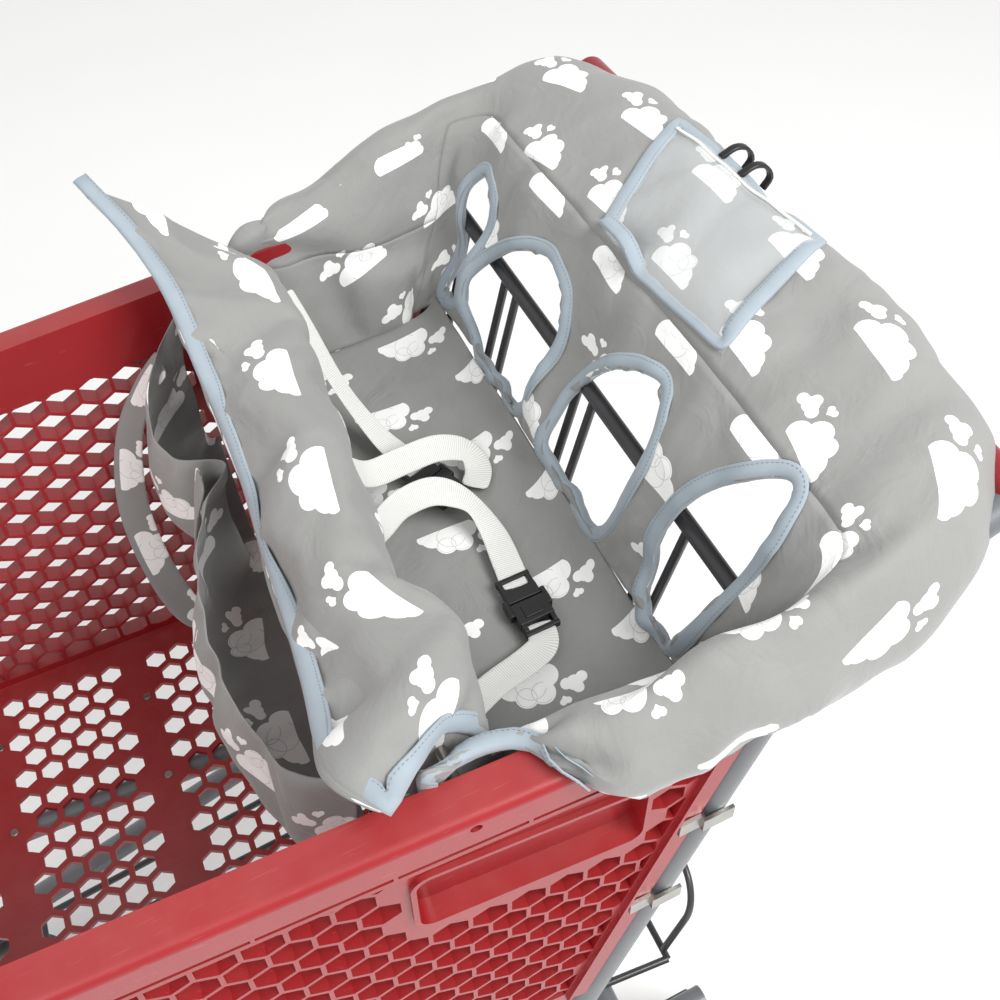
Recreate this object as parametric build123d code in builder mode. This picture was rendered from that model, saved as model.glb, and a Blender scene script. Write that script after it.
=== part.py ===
# Shopping cart with a moulded honeycomb basket, a steel wire rear gate, a fold-up child seat
# and a padded seat cover fitted over the handle. +X is the cart's front, +Z is up, and the
# origin is on the ground under the middle of the cart.
from build123d import *
from math import cos, radians, sin, tan
import os

os.makedirs("parts", exist_ok=True)

# ---- driving dimensions, in millimetres and degrees ----
FRONT_END = 525            # foremost face of the front bumper
REAR_END = -525            # rearmost point of the seat cover

REF_X = 50                 # station at which the basket's sections are given
REF_Z = 865
INNER_HALF_WIDTH = 261.7   # inside of a side wall at the reference station
WALL_TAPER = 3.54          # each side wall turns in towards the front
WALL_DRAFT = 1.6           # each side wall leans out towards the rim
RIM_HEIGHT = 945           # rim top at REF_X
RIM_SLOPE = 3.82           # the rim rises towards the rear
FLOOR_HEIGHT = 506         # floor top at REF_X
FLOOR_SLOPE = 3.58         # the floor falls towards the rear
REAR_EDGE_X = -288         # rear edge of the side walls at REF_Z
REAR_LEAN = 14.5
FRONT_TOP_X = 465          # inside of the front wall at the rim
FRONT_LEAN = 12
LATTICE_DEPTH = 18
CELL_PITCH = 30
CELL_WEB = 3.5
RIM_WIDTH = 30
RIM_SKIRT = 32
RIM_WALL = 4
RIM_ROUND = 7
FIT_GAP = 0.3              # gap left where panels meet
CLIP_GAP = 0.95            # room for the slope of what a steel clip lies on
FLOOR_THICKNESS = 5
FLOOR_PITCH = 24.9
FLOOR_HOLE = 19.4

UPRIGHT_RADIUS = 12.5
RAIL_RADIUS = 15
CROSS_RADIUS = 12.5
BEAM_RADIUS = 11
TUBE_WALL = 2
RAIL_HEIGHT = 172
HANDLE_X = -480
HANDLE_Z = 1040
HANDLE_RADIUS = 16

WHEEL_RADIUS = 62.5
WHEEL_WIDTH = 30
HUB_RADIUS = 44
REAR_WHEEL_X = -330
REAR_TRACK = 262           # half the distance between the rear wheels
CASTER_X = 400
FRONT_TRACK = 165
CASTER_TRAIL = 32
FORK_GAP = 2
FORK_PLATE = 4
AXLE_RADIUS = 5
STEM_RADIUS = 8
SOCKET_RADIUS = 17
RUNNING_FIT = 0.05         # radial clearance of a shaft that turns in its hole

ROD_RADIUS = 4
WIRE_RADIUS = 3
SLEEVE_RADIUS = 7
HINGE_Z = 942              # hinge rods of the gate and of the seat back
GATE_LENGTH = 458
GATE_HALF = 278
GATE_TAPER = 0.1           # share of its width that the gate loses towards its foot
SEAT_ROD_X = -87           # hinge rod of the seat back
SEAT_DROP = 155            # hinge rod to seat pivot, along the gate
SEAT_PLATE = 8
ROD_PAIR = 24              # spacing of the two rods of a pair
PAIR_Y = (-262, -150, 0, 150, 262)   # middles of the gate's rod pairs

SEAT_PAD = 22              # thickness of the cover's padding on the seat
SOFT_GAP = 0.5
LEG_HOLES = ((-232, 52), (-118, 128), (52, 112), (200, 78))   # middle and width of each
LEG_HOLE_HEIGHT = 124
LEG_HOLE_Z = 938
BELT_WIDTH = 25
BELT_THICKNESS = 2


def rear_x(z):
    """Rear edge of the side walls at height z."""
    return REAR_EDGE_X - (z - REF_Z) * tan(radians(REAR_LEAN))


def rim_z(x):
    """Top of the rim at station x."""
    return RIM_HEIGHT - (x - REF_X) * tan(radians(RIM_SLOPE))


def floor_z(x):
    """Top of the floor at station x."""
    return FLOOR_HEIGHT + (x - REF_X) * tan(radians(FLOOR_SLOPE))


def half_width(x, z):
    """Inside face of the left wall at a point of the basket."""
    taper = (x - REF_X) * tan(radians(WALL_TAPER))
    draft = (z - REF_Z) * tan(radians(WALL_DRAFT))
    return INNER_HALF_WIDTH - taper + draft


def front_x(z):
    """Inside face of the front wall at height z."""
    return FRONT_TOP_X - (rim_z(FRONT_TOP_X) - z) * tan(radians(FRONT_LEAN))


WALL_NORMAL = Vector(tan(radians(WALL_TAPER)), 1, -tan(radians(WALL_DRAFT)))
left_wall = Plane(
    origin=(REF_X, INNER_HALF_WIDTH, REF_Z),
    x_dir=(-1, tan(radians(WALL_TAPER)), 0),
    z_dir=WALL_NORMAL,
)
right_wall = Plane(
    origin=(REF_X, -INNER_HALF_WIDTH, REF_Z),
    x_dir=(-1, -tan(radians(WALL_TAPER)), 0),
    z_dir=(WALL_NORMAL.X, -WALL_NORMAL.Y, WALL_NORMAL.Z),
)
front_wall = Plane(
    origin=(FRONT_TOP_X, 0, rim_z(FRONT_TOP_X)),
    x_dir=(0, 1, 0),
    z_dir=(cos(radians(FRONT_LEAN)), 0, -sin(radians(FRONT_LEAN))),
)
floor_plane = Plane(
    origin=(REF_X, 0, FLOOR_HEIGHT),
    x_dir=(1, 0, tan(radians(FLOOR_SLOPE))),
    z_dir=(-tan(radians(FLOOR_SLOPE)), 0, 1),
)


def save(piece, name):
    """Label a finished piece and write it to its own file."""
    piece.part.label = name
    export_step(piece.part, f"parts/{name}.step")


def save_pair(piece, name):
    """Write the left-hand piece and its mirror image."""
    save(piece, f"{name}_left")
    with BuildPart() as other:
        add(piece.part)
        mirror(about=Plane.XZ, mode=Mode.REPLACE)
    save(other, f"{name}_right")


def bar(points, radius, bend=0, hole=0, cope=()):
    """Round tube or rod along a bent line, its ends coped to the solids in cope."""
    with BuildPart() as piece:
        with BuildLine() as path:
            if len(points) == 2:
                Line(*points)
            else:
                FilletPolyline(*points, radius=bend)
        start = Plane(origin=path.line @ 0, z_dir=path.line % 0)
        with BuildSketch(start):
            Circle(radius)
            if hole:
                Circle(hole, mode=Mode.SUBTRACT)
        sweep(path=path.line)
        for solid in cope:
            add(solid, mode=Mode.SUBTRACT)
    return piece


def wall_corner(level, slope, edge, lean):
    """Meeting point, in a wall's own plane, of a near-level line and a leaning edge."""
    height = (level + slope * edge) / (1 - slope * lean)
    return (edge + lean * height, height)


# ---- side panels: a lattice plate with a turned-over rim ----
RIM_RISE = tan(radians(RIM_SLOPE))
FLOOR_FALL = -tan(radians(FLOOR_SLOPE))
REAR_SHIFT = tan(radians(REAR_LEAN))
FRONT_SHIFT = -tan(radians(FRONT_LEAN))
WALL_REAR = REF_X - REAR_EDGE_X
WALL_FRONT = REF_X - front_x(REF_Z)
RIM_LEVEL = RIM_HEIGHT - REF_Z
FLOOR_LEVEL = FLOOR_HEIGHT - REF_Z


def wall_strip(below_rim, above_floor, front_inset, rear_inset):
    """Four corners of a panel area, set in from the rim, the floor and both ends."""
    top = RIM_LEVEL - below_rim
    low = FLOOR_LEVEL + above_floor
    front = WALL_FRONT + front_inset
    rear = WALL_REAR - rear_inset
    return [
        wall_corner(top, RIM_RISE, front, FRONT_SHIFT),
        wall_corner(top, RIM_RISE, rear, REAR_SHIFT),
        wall_corner(low, FLOOR_FALL, rear, REAR_SHIFT),
        wall_corner(low, FLOOR_FALL, front, FRONT_SHIFT),
    ]


def band_along_rim(top, bottom):
    """Four corners of a strip that runs under the rim from end to end."""
    upper = RIM_LEVEL - top
    lower = RIM_LEVEL - bottom
    return [
        wall_corner(upper, RIM_RISE, WALL_FRONT, FRONT_SHIFT),
        wall_corner(upper, RIM_RISE, WALL_REAR, REAR_SHIFT),
        wall_corner(lower, RIM_RISE, WALL_REAR, REAR_SHIFT),
        wall_corner(lower, RIM_RISE, WALL_FRONT, FRONT_SHIFT),
    ]


RIM_BAND = 66              # plain height under the rim
END_BAND = 27              # plain width along the rear edge
FLOOR_BAND = 8
CELL_SIZE = CELL_PITCH - CELL_WEB
LEDGE_TOP = 46
LEDGE = 5
LEDGE_REACH = RIM_WIDTH - RIM_WALL - LATTICE_DEPTH
GUSSET_PITCH = 90
SLOT_FRONT = 99            # recessed plate holder, measured in the wall's plane
SLOT_REAR = 266
SLOT_LOW = -64
SLOT_HIGH = 10
SLOT_LIP = 4
SLOT_RADIUS = 12


def cell_outlines(area, pitch, size, keep_clear=None):
    """Staggered hexagonal cells that fill a four-sided area, cut off along its edges."""
    row_step = pitch * sin(radians(60))
    corner = size / 2 / cos(radians(30))
    us = [point[0] for point in area]
    vs = [point[1] for point in area]
    outlines = []
    for row in range(int(min(vs) / row_step) - 1, int(max(vs) / row_step) + 2):
        shift = pitch / 2 if row % 2 else 0
        for column in range(int(min(us) / pitch) - 2, int(max(us) / pitch) + 2):
            u = column * pitch + shift
            v = row * row_step
            if keep_clear and abs(u - keep_clear[0]) < keep_clear[2] and abs(v - keep_clear[1]) < keep_clear[3]:
                continue
            cell = [(u + corner * sin(radians(60 * k)), v + corner * cos(radians(60 * k))) for k in range(6)]
            cell = clip(cell, area)
            if len(cell) > 2 and extent(cell) > size / 4:
                outlines.append(cell)
    return outlines


def clip(cell, area):
    """Part of a convex outline that lies inside a convex area given clockwise."""
    for start, end in zip(area, area[1:] + area[:1]):
        kept = []
        sides = [
            (end[1] - start[1]) * (p[0] - start[0]) - (end[0] - start[0]) * (p[1] - start[1]) for p in cell
        ]
        for index, point in enumerate(cell):
            before, side_before = cell[index - 1], sides[index - 1]
            if sides[index] * side_before < 0:
                share = side_before / (side_before - sides[index])
                kept.append(tuple(before[k] + share * (point[k] - before[k]) for k in (0, 1)))
            if sides[index] >= 0:
                kept.append(point)
        cell = kept
        if not cell:
            break
    return cell


def extent(outline):
    """Smaller side of an outline's box."""
    return min(max(p[k] for p in outline) - min(p[k] for p in outline) for k in (0, 1))


def pierced_face(plane, outline, cells):
    """Flat face with one hole for each cell."""
    def ring(points):
        return Wire.make_polygon([plane.from_local_coords((u, v, 0)) for u, v in points])
    return Face(ring(outline), [ring(cell) for cell in cells])


slot_middle = ((SLOT_FRONT + SLOT_REAR) / 2, (SLOT_LOW + SLOT_HIGH) / 2)
slot_size = (SLOT_REAR - SLOT_FRONT, SLOT_HIGH - SLOT_LOW)
slot_outer = (slot_size[0] + 2 * SLOT_LIP, slot_size[1] + 2 * SLOT_LIP)
slot_clear = (*slot_middle, (slot_outer[0] + CELL_PITCH) / 2, (slot_outer[1] + CELL_PITCH) / 2)
side_cells = cell_outlines(
    wall_strip(RIM_BAND, FLOOR_BAND, FLOOR_BAND, END_BAND), CELL_PITCH, CELL_SIZE, slot_clear
)

with BuildPart() as side_trim:
    # plate holder: a raised lip round a shallow recess
    with BuildSketch(left_wall.offset(LATTICE_DEPTH)):
        with Locations(slot_middle):
            RectangleRounded(*slot_outer, SLOT_RADIUS + SLOT_LIP)
            RectangleRounded(*slot_size, SLOT_RADIUS, mode=Mode.SUBTRACT)
    extrude(amount=4)
    # turned-over rim and its skirt
    with BuildSketch(left_wall):
        Polygon(*band_along_rim(0, RIM_WALL), align=None)
    extrude(amount=RIM_WIDTH)
    with BuildSketch(left_wall.offset(RIM_WIDTH - RIM_WALL)):
        Polygon(*band_along_rim(0, RIM_SKIRT), align=None)
    extrude(amount=RIM_WALL)
    long_edges = side_trim.edges().filter_by(lambda e: e.length > 500)
    fillet(long_edges.sort_by(lambda e: e.center().Y + e.center().Z)[-1], RIM_ROUND)
    # ledge and gussets under the rim
    with BuildSketch(left_wall.offset(LATTICE_DEPTH)):
        Polygon(*band_along_rim(LEDGE_TOP, LEDGE_TOP + LEDGE), align=None)
    extrude(amount=LEDGE_REACH)
    for station in range(int(WALL_FRONT) + 40, int(WALL_REAR), GUSSET_PITCH):
        with BuildSketch(left_wall.offset(LATTICE_DEPTH)):
            with Locations((station, RIM_LEVEL - RIM_WALL + RIM_RISE * station - LEDGE_TOP / 2)):
                Rectangle(3, LEDGE_TOP)
        extrude(amount=LEDGE_REACH)
    # rib beside the rear edge
    rib_line = wall_strip(RIM_SKIRT + 1, 1, 0, END_BAND - 3)
    with BuildSketch(left_wall.offset(LATTICE_DEPTH)):
        Polygon(
            rib_line[1],
            (rib_line[1][0] + 3, rib_line[1][1]),
            (rib_line[2][0] + 3, rib_line[2][1]),
            rib_line[2],
            align=None,
        )
    extrude(amount=5)

with BuildPart() as slot_recess:
    with BuildSketch(left_wall.offset(4)):
        with Locations(slot_middle):
            RectangleRounded(*slot_size, SLOT_RADIUS)
    extrude(amount=LATTICE_DEPTH)
    with Locations(Location((SEAT_ROD_X, INNER_HALF_WIDTH, HINGE_Z), (90, 0, 0))):
        Cylinder(ROD_RADIUS, 120)

with BuildPart() as side_panel:
    add(extrude(
        pierced_face(left_wall, wall_strip(0, -FLOOR_THICKNESS - 6, 0, 0), side_cells),
        amount=LATTICE_DEPTH,
        dir=left_wall.z_dir,
        mode=Mode.PRIVATE,
    ))
    add(side_trim.part)
    add(slot_recess.part, mode=Mode.SUBTRACT)
save_pair(side_panel, "side_panel")

# ---- front panel, between the side panels ----
FRONT_INSET = (RIM_WIDTH + 2) * tan(radians(WALL_TAPER)) + FIT_GAP
front_height = (rim_z(FRONT_TOP_X) - floor_z(front_x(FLOOR_HEIGHT))) / cos(radians(FRONT_LEAN)) + 5
front_top_half = half_width(FRONT_TOP_X, rim_z(FRONT_TOP_X)) - FRONT_INSET
front_low_half = half_width(front_x(FLOOR_HEIGHT), FLOOR_HEIGHT) - FRONT_INSET
front_outline = [
    (-front_top_half, 0),
    (front_top_half, 0),
    (front_low_half, -front_height),
    (-front_low_half, -front_height),
]
front_area = [
    (-front_top_half + 24, -RIM_BAND),
    (front_top_half - 24, -RIM_BAND),
    (front_low_half - 24, -front_height + 24),
    (-front_low_half + 24, -front_height + 24),
]
with BuildPart() as front_panel:
    add(extrude(
        pierced_face(front_wall, front_outline, cell_outlines(front_area, CELL_PITCH, CELL_SIZE)),
        amount=LATTICE_DEPTH,
        dir=front_wall.z_dir,
        mode=Mode.PRIVATE,
    ))
    with BuildPart(mode=Mode.PRIVATE) as front_rim:
        with BuildSketch(front_wall.offset(LATTICE_DEPTH)):
            with Locations((0, -RIM_WALL / 2)):
                Rectangle(2 * front_top_half, RIM_WALL)
        extrude(amount=RIM_WIDTH - LATTICE_DEPTH)
        with BuildSketch(front_wall.offset(RIM_WIDTH - RIM_WALL)):
            with Locations((0, -RIM_SKIRT / 2)):
                Rectangle(2 * front_top_half, RIM_SKIRT)
        extrude(amount=RIM_WALL)
    add(front_rim.part)
save(front_panel, "front_panel")

# ---- floor panel: a plate with patches of hexagonal holes ----
PATCH_COLUMNS = 5
PATCH_STEP = 147           # patch plus plain strip, along the cart
PATCH_START = 81           # front patch edge from the reference station
FLOOR_ROW = FLOOR_PITCH * sin(radians(60))
PATCH_ROWS = ((-212, 5), (-97, 10), (126, 5))
floor_front = front_x(FLOOR_HEIGHT + 22) - REF_X - FIT_GAP - 1
floor_rear = rear_x(FLOOR_HEIGHT - 16) - REF_X + 14


def floor_edge(along):
    """Half the floor's width at a station, clear of the drafted side walls."""
    return half_width(along + REF_X, floor_z(along + REF_X) - FLOOR_THICKNESS) - FIT_GAP


floor_outline = [
    (floor_rear, floor_edge(floor_rear)),
    (floor_front, floor_edge(floor_front)),
    (floor_front, -floor_edge(floor_front)),
    (floor_rear, -floor_edge(floor_rear)),
]
floor_cells = []
hole_corner = FLOOR_HOLE / 2 / cos(radians(30))
for patch in range(-2, 2):
    for row_start, rows in PATCH_ROWS:
        for row in range(rows):
            for column in range(PATCH_COLUMNS - row % 2):
                u = PATCH_START + patch * PATCH_STEP + (column + (row % 2) / 2) * FLOOR_PITCH
                v = row_start + row * FLOOR_ROW
                if abs(v) < floor_edge(u) - FLOOR_HOLE and u < floor_front - FLOOR_HOLE:
                    floor_cells.append([
                        (u + hole_corner * sin(radians(60 * k)), v + hole_corner * cos(radians(60 * k)))
                        for k in range(6)
                    ])
with BuildPart() as floor_panel:
    add(extrude(
        pierced_face(floor_plane, floor_outline, floor_cells),
        amount=-FLOOR_THICKNESS,
        dir=floor_plane.z_dir,
        mode=Mode.PRIVATE,
    ))
save(floor_panel, "floor_panel")

# ---- rivets that hold the floor to the two beams under it ----
BEAM_Y = 80
RIVET_RADIUS = 4
with BuildPart() as floor_rivets:
    for patch in range(-1, 2):
        for side in (-169, -72, 72, 169):
            place = floor_plane * Location((PATCH_START + patch * PATCH_STEP - 29, side, 0))
            with Locations(place):
                Cylinder(RIVET_RADIUS, 1.6, align=(Align.CENTER, Align.CENTER, Align.MIN))
    fillet(floor_rivets.edges().filter_by(lambda e: floor_plane.to_local_coords(e.center()).Z > 1), 0.8)
save(floor_rivets, "floor_rivets")

# ---- steel chassis ----
UPRIGHT_SETBACK = UPRIGHT_RADIUS + 2
UPRIGHT_TOP = 985
wall_mid = LATTICE_DEPTH / 2


def upright_point(z):
    """Point of the left upright's centre line at height z."""
    return (rear_x(z) - UPRIGHT_SETBACK, half_width(rear_x(z), z) + wall_mid, z)


handle_end_y = half_width(rear_x(UPRIGHT_TOP), UPRIGHT_TOP) + wall_mid
upright_path = [
    upright_point(RAIL_HEIGHT),
    upright_point(UPRIGHT_TOP),
    (HANDLE_X, handle_end_y, HANDLE_Z),
]
rail_path = [
    (REAR_WHEEL_X - 30, REAR_TRACK, RAIL_HEIGHT),
    (-60, REAR_TRACK, RAIL_HEIGHT),
    (CASTER_X, FRONT_TRACK, RAIL_HEIGHT),
]
with BuildPart() as socket_envelope:
    with Locations((CASTER_X, FRONT_TRACK, RAIL_HEIGHT)):
        Cylinder(SOCKET_RADIUS, 46)
rail_envelope = bar(rail_path, RAIL_RADIUS, 90)
base_rail = bar(rail_path, RAIL_RADIUS, 90, RAIL_RADIUS - TUBE_WALL, [socket_envelope.part])
save_pair(base_rail, "base_rail")

grip_envelope = bar([(HANDLE_X, -400, HANDLE_Z), (HANDLE_X, 400, HANDLE_Z)], HANDLE_RADIUS)
upright_envelope = bar(upright_path, UPRIGHT_RADIUS, 60)
rear_upright = bar(
    upright_path,
    UPRIGHT_RADIUS,
    60,
    UPRIGHT_RADIUS - TUBE_WALL,
    [rail_envelope.part, grip_envelope.part],
)
save_pair(rear_upright, "rear_upright")

# cross tubes of the base, coped between the rails
rail_pair = [rail_envelope.part, rail_envelope.part.mirror(Plane.XZ)]
socket_pair = [socket_envelope.part, socket_envelope.part.mirror(Plane.XZ)]
REAR_CROSS_X = -260
base_cross_rear = bar(
    [(REAR_CROSS_X, -REAR_TRACK, RAIL_HEIGHT), (REAR_CROSS_X, REAR_TRACK, RAIL_HEIGHT)],
    CROSS_RADIUS,
    hole=CROSS_RADIUS - TUBE_WALL,
    cope=rail_pair,
)
save(base_cross_rear, "base_cross_rear")
base_cross_front = bar(
    [(CASTER_X, -FRONT_TRACK, RAIL_HEIGHT), (CASTER_X, FRONT_TRACK, RAIL_HEIGHT)],
    CROSS_RADIUS,
    hole=CROSS_RADIUS - TUBE_WALL,
    cope=rail_pair + socket_pair,
)
save(base_cross_front, "base_cross_front")

# cross tube that carries the rear of the basket, between the uprights
REAR_SUPPORT_Z = 455
support_x, support_y, support_z = upright_point(REAR_SUPPORT_Z)
support_path = [(support_x, -support_y, support_z), (support_x, support_y, support_z)]
support_envelope = bar(support_path, CROSS_RADIUS)
upright_pair = [upright_envelope.part, upright_envelope.part.mirror(Plane.XZ)]
basket_cross = bar(support_path, CROSS_RADIUS, hole=CROSS_RADIUS - TUBE_WALL, cope=upright_pair)
save(basket_cross, "basket_cross")

# beams under the floor that turn down to the base's front cross tube
cross_front_envelope = bar([(CASTER_X, -FRONT_TRACK, RAIL_HEIGHT), (CASTER_X, FRONT_TRACK, RAIL_HEIGHT)],
                           CROSS_RADIUS)
beam_drop = (FLOOR_THICKNESS + BEAM_RADIUS) / cos(radians(FLOOR_SLOPE))
BEAM_TURN_X = 352
beam_path = [
    (support_x, BEAM_Y, floor_z(support_x) - beam_drop),
    (BEAM_TURN_X, BEAM_Y, floor_z(BEAM_TURN_X) - beam_drop),
    (CASTER_X, BEAM_Y, RAIL_HEIGHT),
]
floor_beam = bar(
    beam_path,
    BEAM_RADIUS,
    60,
    BEAM_RADIUS - TUBE_WALL,
    [support_envelope.part, cross_front_envelope.part],
)
save_pair(floor_beam, "floor_beam")

# ---- steel clips that tie the side panels to the uprights ----
with BuildPart() as upright_clips:
    for side in (1, -1):
        for height in (658, 779):
            mid = upright_point(height)
            panel_y = half_width(mid[0] + 15, height + 8) + LATTICE_DEPTH
            outer_y = mid[1] + UPRIGHT_RADIUS + 1.5 + CLIP_GAP
            plate_y = panel_y + 1.5 + FIT_GAP
            with Locations((mid[0] + 24, side * plate_y, height)):
                Box(18, 3, 16)
            with Locations((mid[0], side * outer_y, height)):
                Box(24, 3, 16)
            with Locations((mid[0] + 13.5, side * (outer_y + plate_y) / 2, height)):
                Box(3, abs(outer_y - plate_y) + 3, 16)
save(upright_clips, "upright_clips")

# ---- handle: a plastic grip between two end brackets ----
GRIP_HALF = handle_end_y - 26
handle_grip = bar([(HANDLE_X, -GRIP_HALF, HANDLE_Z), (HANDLE_X, GRIP_HALF, HANDLE_Z)], HANDLE_RADIUS)
save(handle_grip, "handle_grip")
with BuildPart() as handle_bracket:
    with BuildSketch(Plane.XZ.offset(-GRIP_HALF)):
        with Locations((HANDLE_X, HANDLE_Z)):
            Circle(HANDLE_RADIUS)
    extrude(amount=-(handle_end_y + UPRIGHT_RADIUS - GRIP_HALF))
    fillet(handle_bracket.faces().sort_by(Axis.Y)[-1].edges(), 5)
save_pair(handle_bracket, "handle_bracket")

# ---- bottom rack of welded wire, on the base's cross tubes ----
RACK_Z = RAIL_HEIGHT + CROSS_RADIUS + ROD_RADIUS
RACK_REAR = -372
RACK_FRONT = CASTER_X
RACK_REAR_HALF = 212
RACK_FRONT_HALF = FRONT_TRACK - SOCKET_RADIUS - ROD_RADIUS - 2
RACK_WIRES = 7
with BuildPart() as bottom_rack:
    for index in range(RACK_WIRES):
        share = 2 * index / (RACK_WIRES - 1) - 1
        add(bar([(RACK_REAR + 30, share * RACK_REAR_HALF, RACK_Z),
                 (RACK_FRONT, share * RACK_FRONT_HALF, RACK_Z)], ROD_RADIUS).part)
    for station in (-342, -80, 120, 300):
        spread = (RACK_FRONT - station) / (RACK_FRONT - RACK_REAR - 30)
        reach = RACK_FRONT_HALF + (RACK_REAR_HALF - RACK_FRONT_HALF) * spread
        add(bar([(station, -reach, RACK_Z), (station, reach, RACK_Z)], ROD_RADIUS).part)
save(bottom_rack, "bottom_rack")

HOOP_TOP = 300
HOOP_FOOT = RACK_Z + ROD_RADIUS + 0.8
hoop_path = [
    (-342, -RACK_REAR_HALF + 10, HOOP_FOOT),
    (-382, -RACK_REAR_HALF + 10, HOOP_TOP),
    (-382, RACK_REAR_HALF - 10, HOOP_TOP),
    (-342, RACK_REAR_HALF - 10, HOOP_FOOT),
]
rack_hoop = bar(hoop_path, ROD_RADIUS, 48)
save(rack_hoop, "rack_hoop")

# ---- hinge rods: the gate's between the uprights, the seat back's through the side panels ----
GATE_X = rear_x(HINGE_Z) - UPRIGHT_SETBACK
gate_rod_reach = upright_point(HINGE_Z)[1]
gate_rod = bar(
    [(GATE_X, -gate_rod_reach, HINGE_Z), (GATE_X, gate_rod_reach, HINGE_Z)],
    ROD_RADIUS,
    cope=upright_pair,
)
save(gate_rod, "gate_rod")
seat_rod_reach = half_width(SEAT_ROD_X, HINGE_Z) + LATTICE_DEPTH - 2
seat_rod = bar([(SEAT_ROD_X, -seat_rod_reach, HINGE_Z), (SEAT_ROD_X, seat_rod_reach, HINGE_Z)], ROD_RADIUS)
save(seat_rod, "seat_rod")

# ---- rear gate of steel wire: a sleeve on the hinge rod, upright rods and cross rods ----
FRONTWARD = Vector(cos(radians(REAR_LEAN)), 0, sin(radians(REAR_LEAN)))


def gate_point(drop, y, rod_x=GATE_X, proud=0):
    """Point down the leaning plane of the gate or of the seat back, and proud of it."""
    down = Vector(sin(radians(REAR_LEAN)), 0, -cos(radians(REAR_LEAN)))
    return tuple(Vector(rod_x, y, HINGE_Z) + down * drop + FRONTWARD * proud)


def gate_half(drop):
    """Half the gate's width at a distance down it."""
    return GATE_HALF * (1 - GATE_TAPER * drop / GATE_LENGTH)


def cross_rod(drop, half, radius, rod_x=GATE_X, proud=0):
    """Rod across the gate or the seat back."""
    return bar([gate_point(drop, -half, rod_x, proud), gate_point(drop, half, rod_x, proud)], radius).part


gate_hole = cross_rod(0, 400, ROD_RADIUS + RUNNING_FIT)
with BuildPart() as gate_sleeve:
    add(cross_rod(0, GATE_HALF, SLEEVE_RADIUS))
    add(gate_hole, mode=Mode.SUBTRACT)
save(gate_sleeve, "gate_sleeve")

with BuildPart() as gate_rods:
    for middle in PAIR_Y:
        for offset in (-ROD_PAIR / 2, ROD_PAIR / 2):
            y = middle + offset
            foot = y * (1 - GATE_TAPER)
            add(bar([gate_point(0, y), gate_point(GATE_LENGTH, foot)], ROD_RADIUS).part)
    add(cross_rod(0, GATE_HALF, SLEEVE_RADIUS), mode=Mode.SUBTRACT)
save(gate_rods, "gate_rods")

with BuildPart() as seat_pivot_rod:
    add(cross_rod(SEAT_DROP, gate_half(SEAT_DROP), ROD_RADIUS, proud=2 * ROD_RADIUS))
save(seat_pivot_rod, "seat_pivot_rod")

FILL_TOP = 200             # the gate's cross rods start below the seat
CROSS_RODS = 6
with BuildPart() as gate_cross_rods:
    for step in range(CROSS_RODS):
        drop = FILL_TOP + step * (GATE_LENGTH - 6 - FILL_TOP) / (CROSS_RODS - 1)
        add(cross_rod(drop, gate_half(drop), WIRE_RADIUS, proud=ROD_RADIUS + WIRE_RADIUS))
save(gate_cross_rods, "gate_cross_rods")

# ---- seat back: a wire frame hung from the seat rod ----
BACK_HALF = 236
BACK_WIRE_PITCH = 50
with BuildPart() as seat_back_frame:
    add(cross_rod(0, BACK_HALF, SLEEVE_RADIUS, SEAT_ROD_X))
    add(cross_rod(SEAT_DROP, BACK_HALF, ROD_RADIUS, SEAT_ROD_X))
    for y in range(-200, 201, BACK_WIRE_PITCH):
        add(bar([gate_point(0, y, SEAT_ROD_X), gate_point(SEAT_DROP, y, SEAT_ROD_X)], WIRE_RADIUS).part)
    for y in (8 - BACK_HALF, BACK_HALF - 8):
        add(bar([gate_point(0, y, SEAT_ROD_X), gate_point(SEAT_DROP, y, SEAT_ROD_X)], WIRE_RADIUS).part)
    add(cross_rod(0, 400, ROD_RADIUS + RUNNING_FIT, SEAT_ROD_X), mode=Mode.SUBTRACT)
save(seat_back_frame, "seat_back_frame")

# ---- seat flap: a moulded plate with knuckles on the gate's cross rod ----
seat_pivot = gate_point(SEAT_DROP, 0, proud=2 * ROD_RADIUS)
SEAT_HALF = 226
FLAP_REAR_GAP = 28         # room for the gate's rods when the gate swings up
FLAP_FRONT_GAP = 11        # room for the seat back's wires
KNUCKLES = ((40, 110), (180, SEAT_HALF))
flap_rear = seat_pivot[0] + FLAP_REAR_GAP
flap_front = gate_point(SEAT_DROP, 0, SEAT_ROD_X)[0] - FLAP_FRONT_GAP
flap_middle = (flap_rear + flap_front) / 2
flap_z = seat_pivot[2] - SEAT_PLATE / 2
with BuildPart() as seat_flap:
    with Locations((flap_middle, 0, flap_z)):
        Box(flap_front - flap_rear, 2 * SEAT_HALF, SEAT_PLATE)
    fillet(seat_flap.edges().filter_by(Axis.Z), 10)
    with Locations((flap_middle + 8, 0, flap_z - SEAT_PLATE / 2 - 4)):
        with GridLocations(56, 110, 3, 4):
            Box(4, 90, 8)
    for low, high in KNUCKLES:
        for side in (1, -1):
            knuckle = [(seat_pivot[0], side * low, seat_pivot[2]), (seat_pivot[0], side * high, seat_pivot[2])]
            add(bar(knuckle, SLEEVE_RADIUS).part)
            with Locations(((seat_pivot[0] + flap_rear) / 2 + 6, side * (low + high) / 2, flap_z)):
                Box(flap_rear - seat_pivot[0] + 12, high - low, SEAT_PLATE)
    add(cross_rod(SEAT_DROP, 400, ROD_RADIUS + RUNNING_FIT, proud=2 * ROD_RADIUS), mode=Mode.SUBTRACT)
save(seat_flap, "seat_flap")

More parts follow.
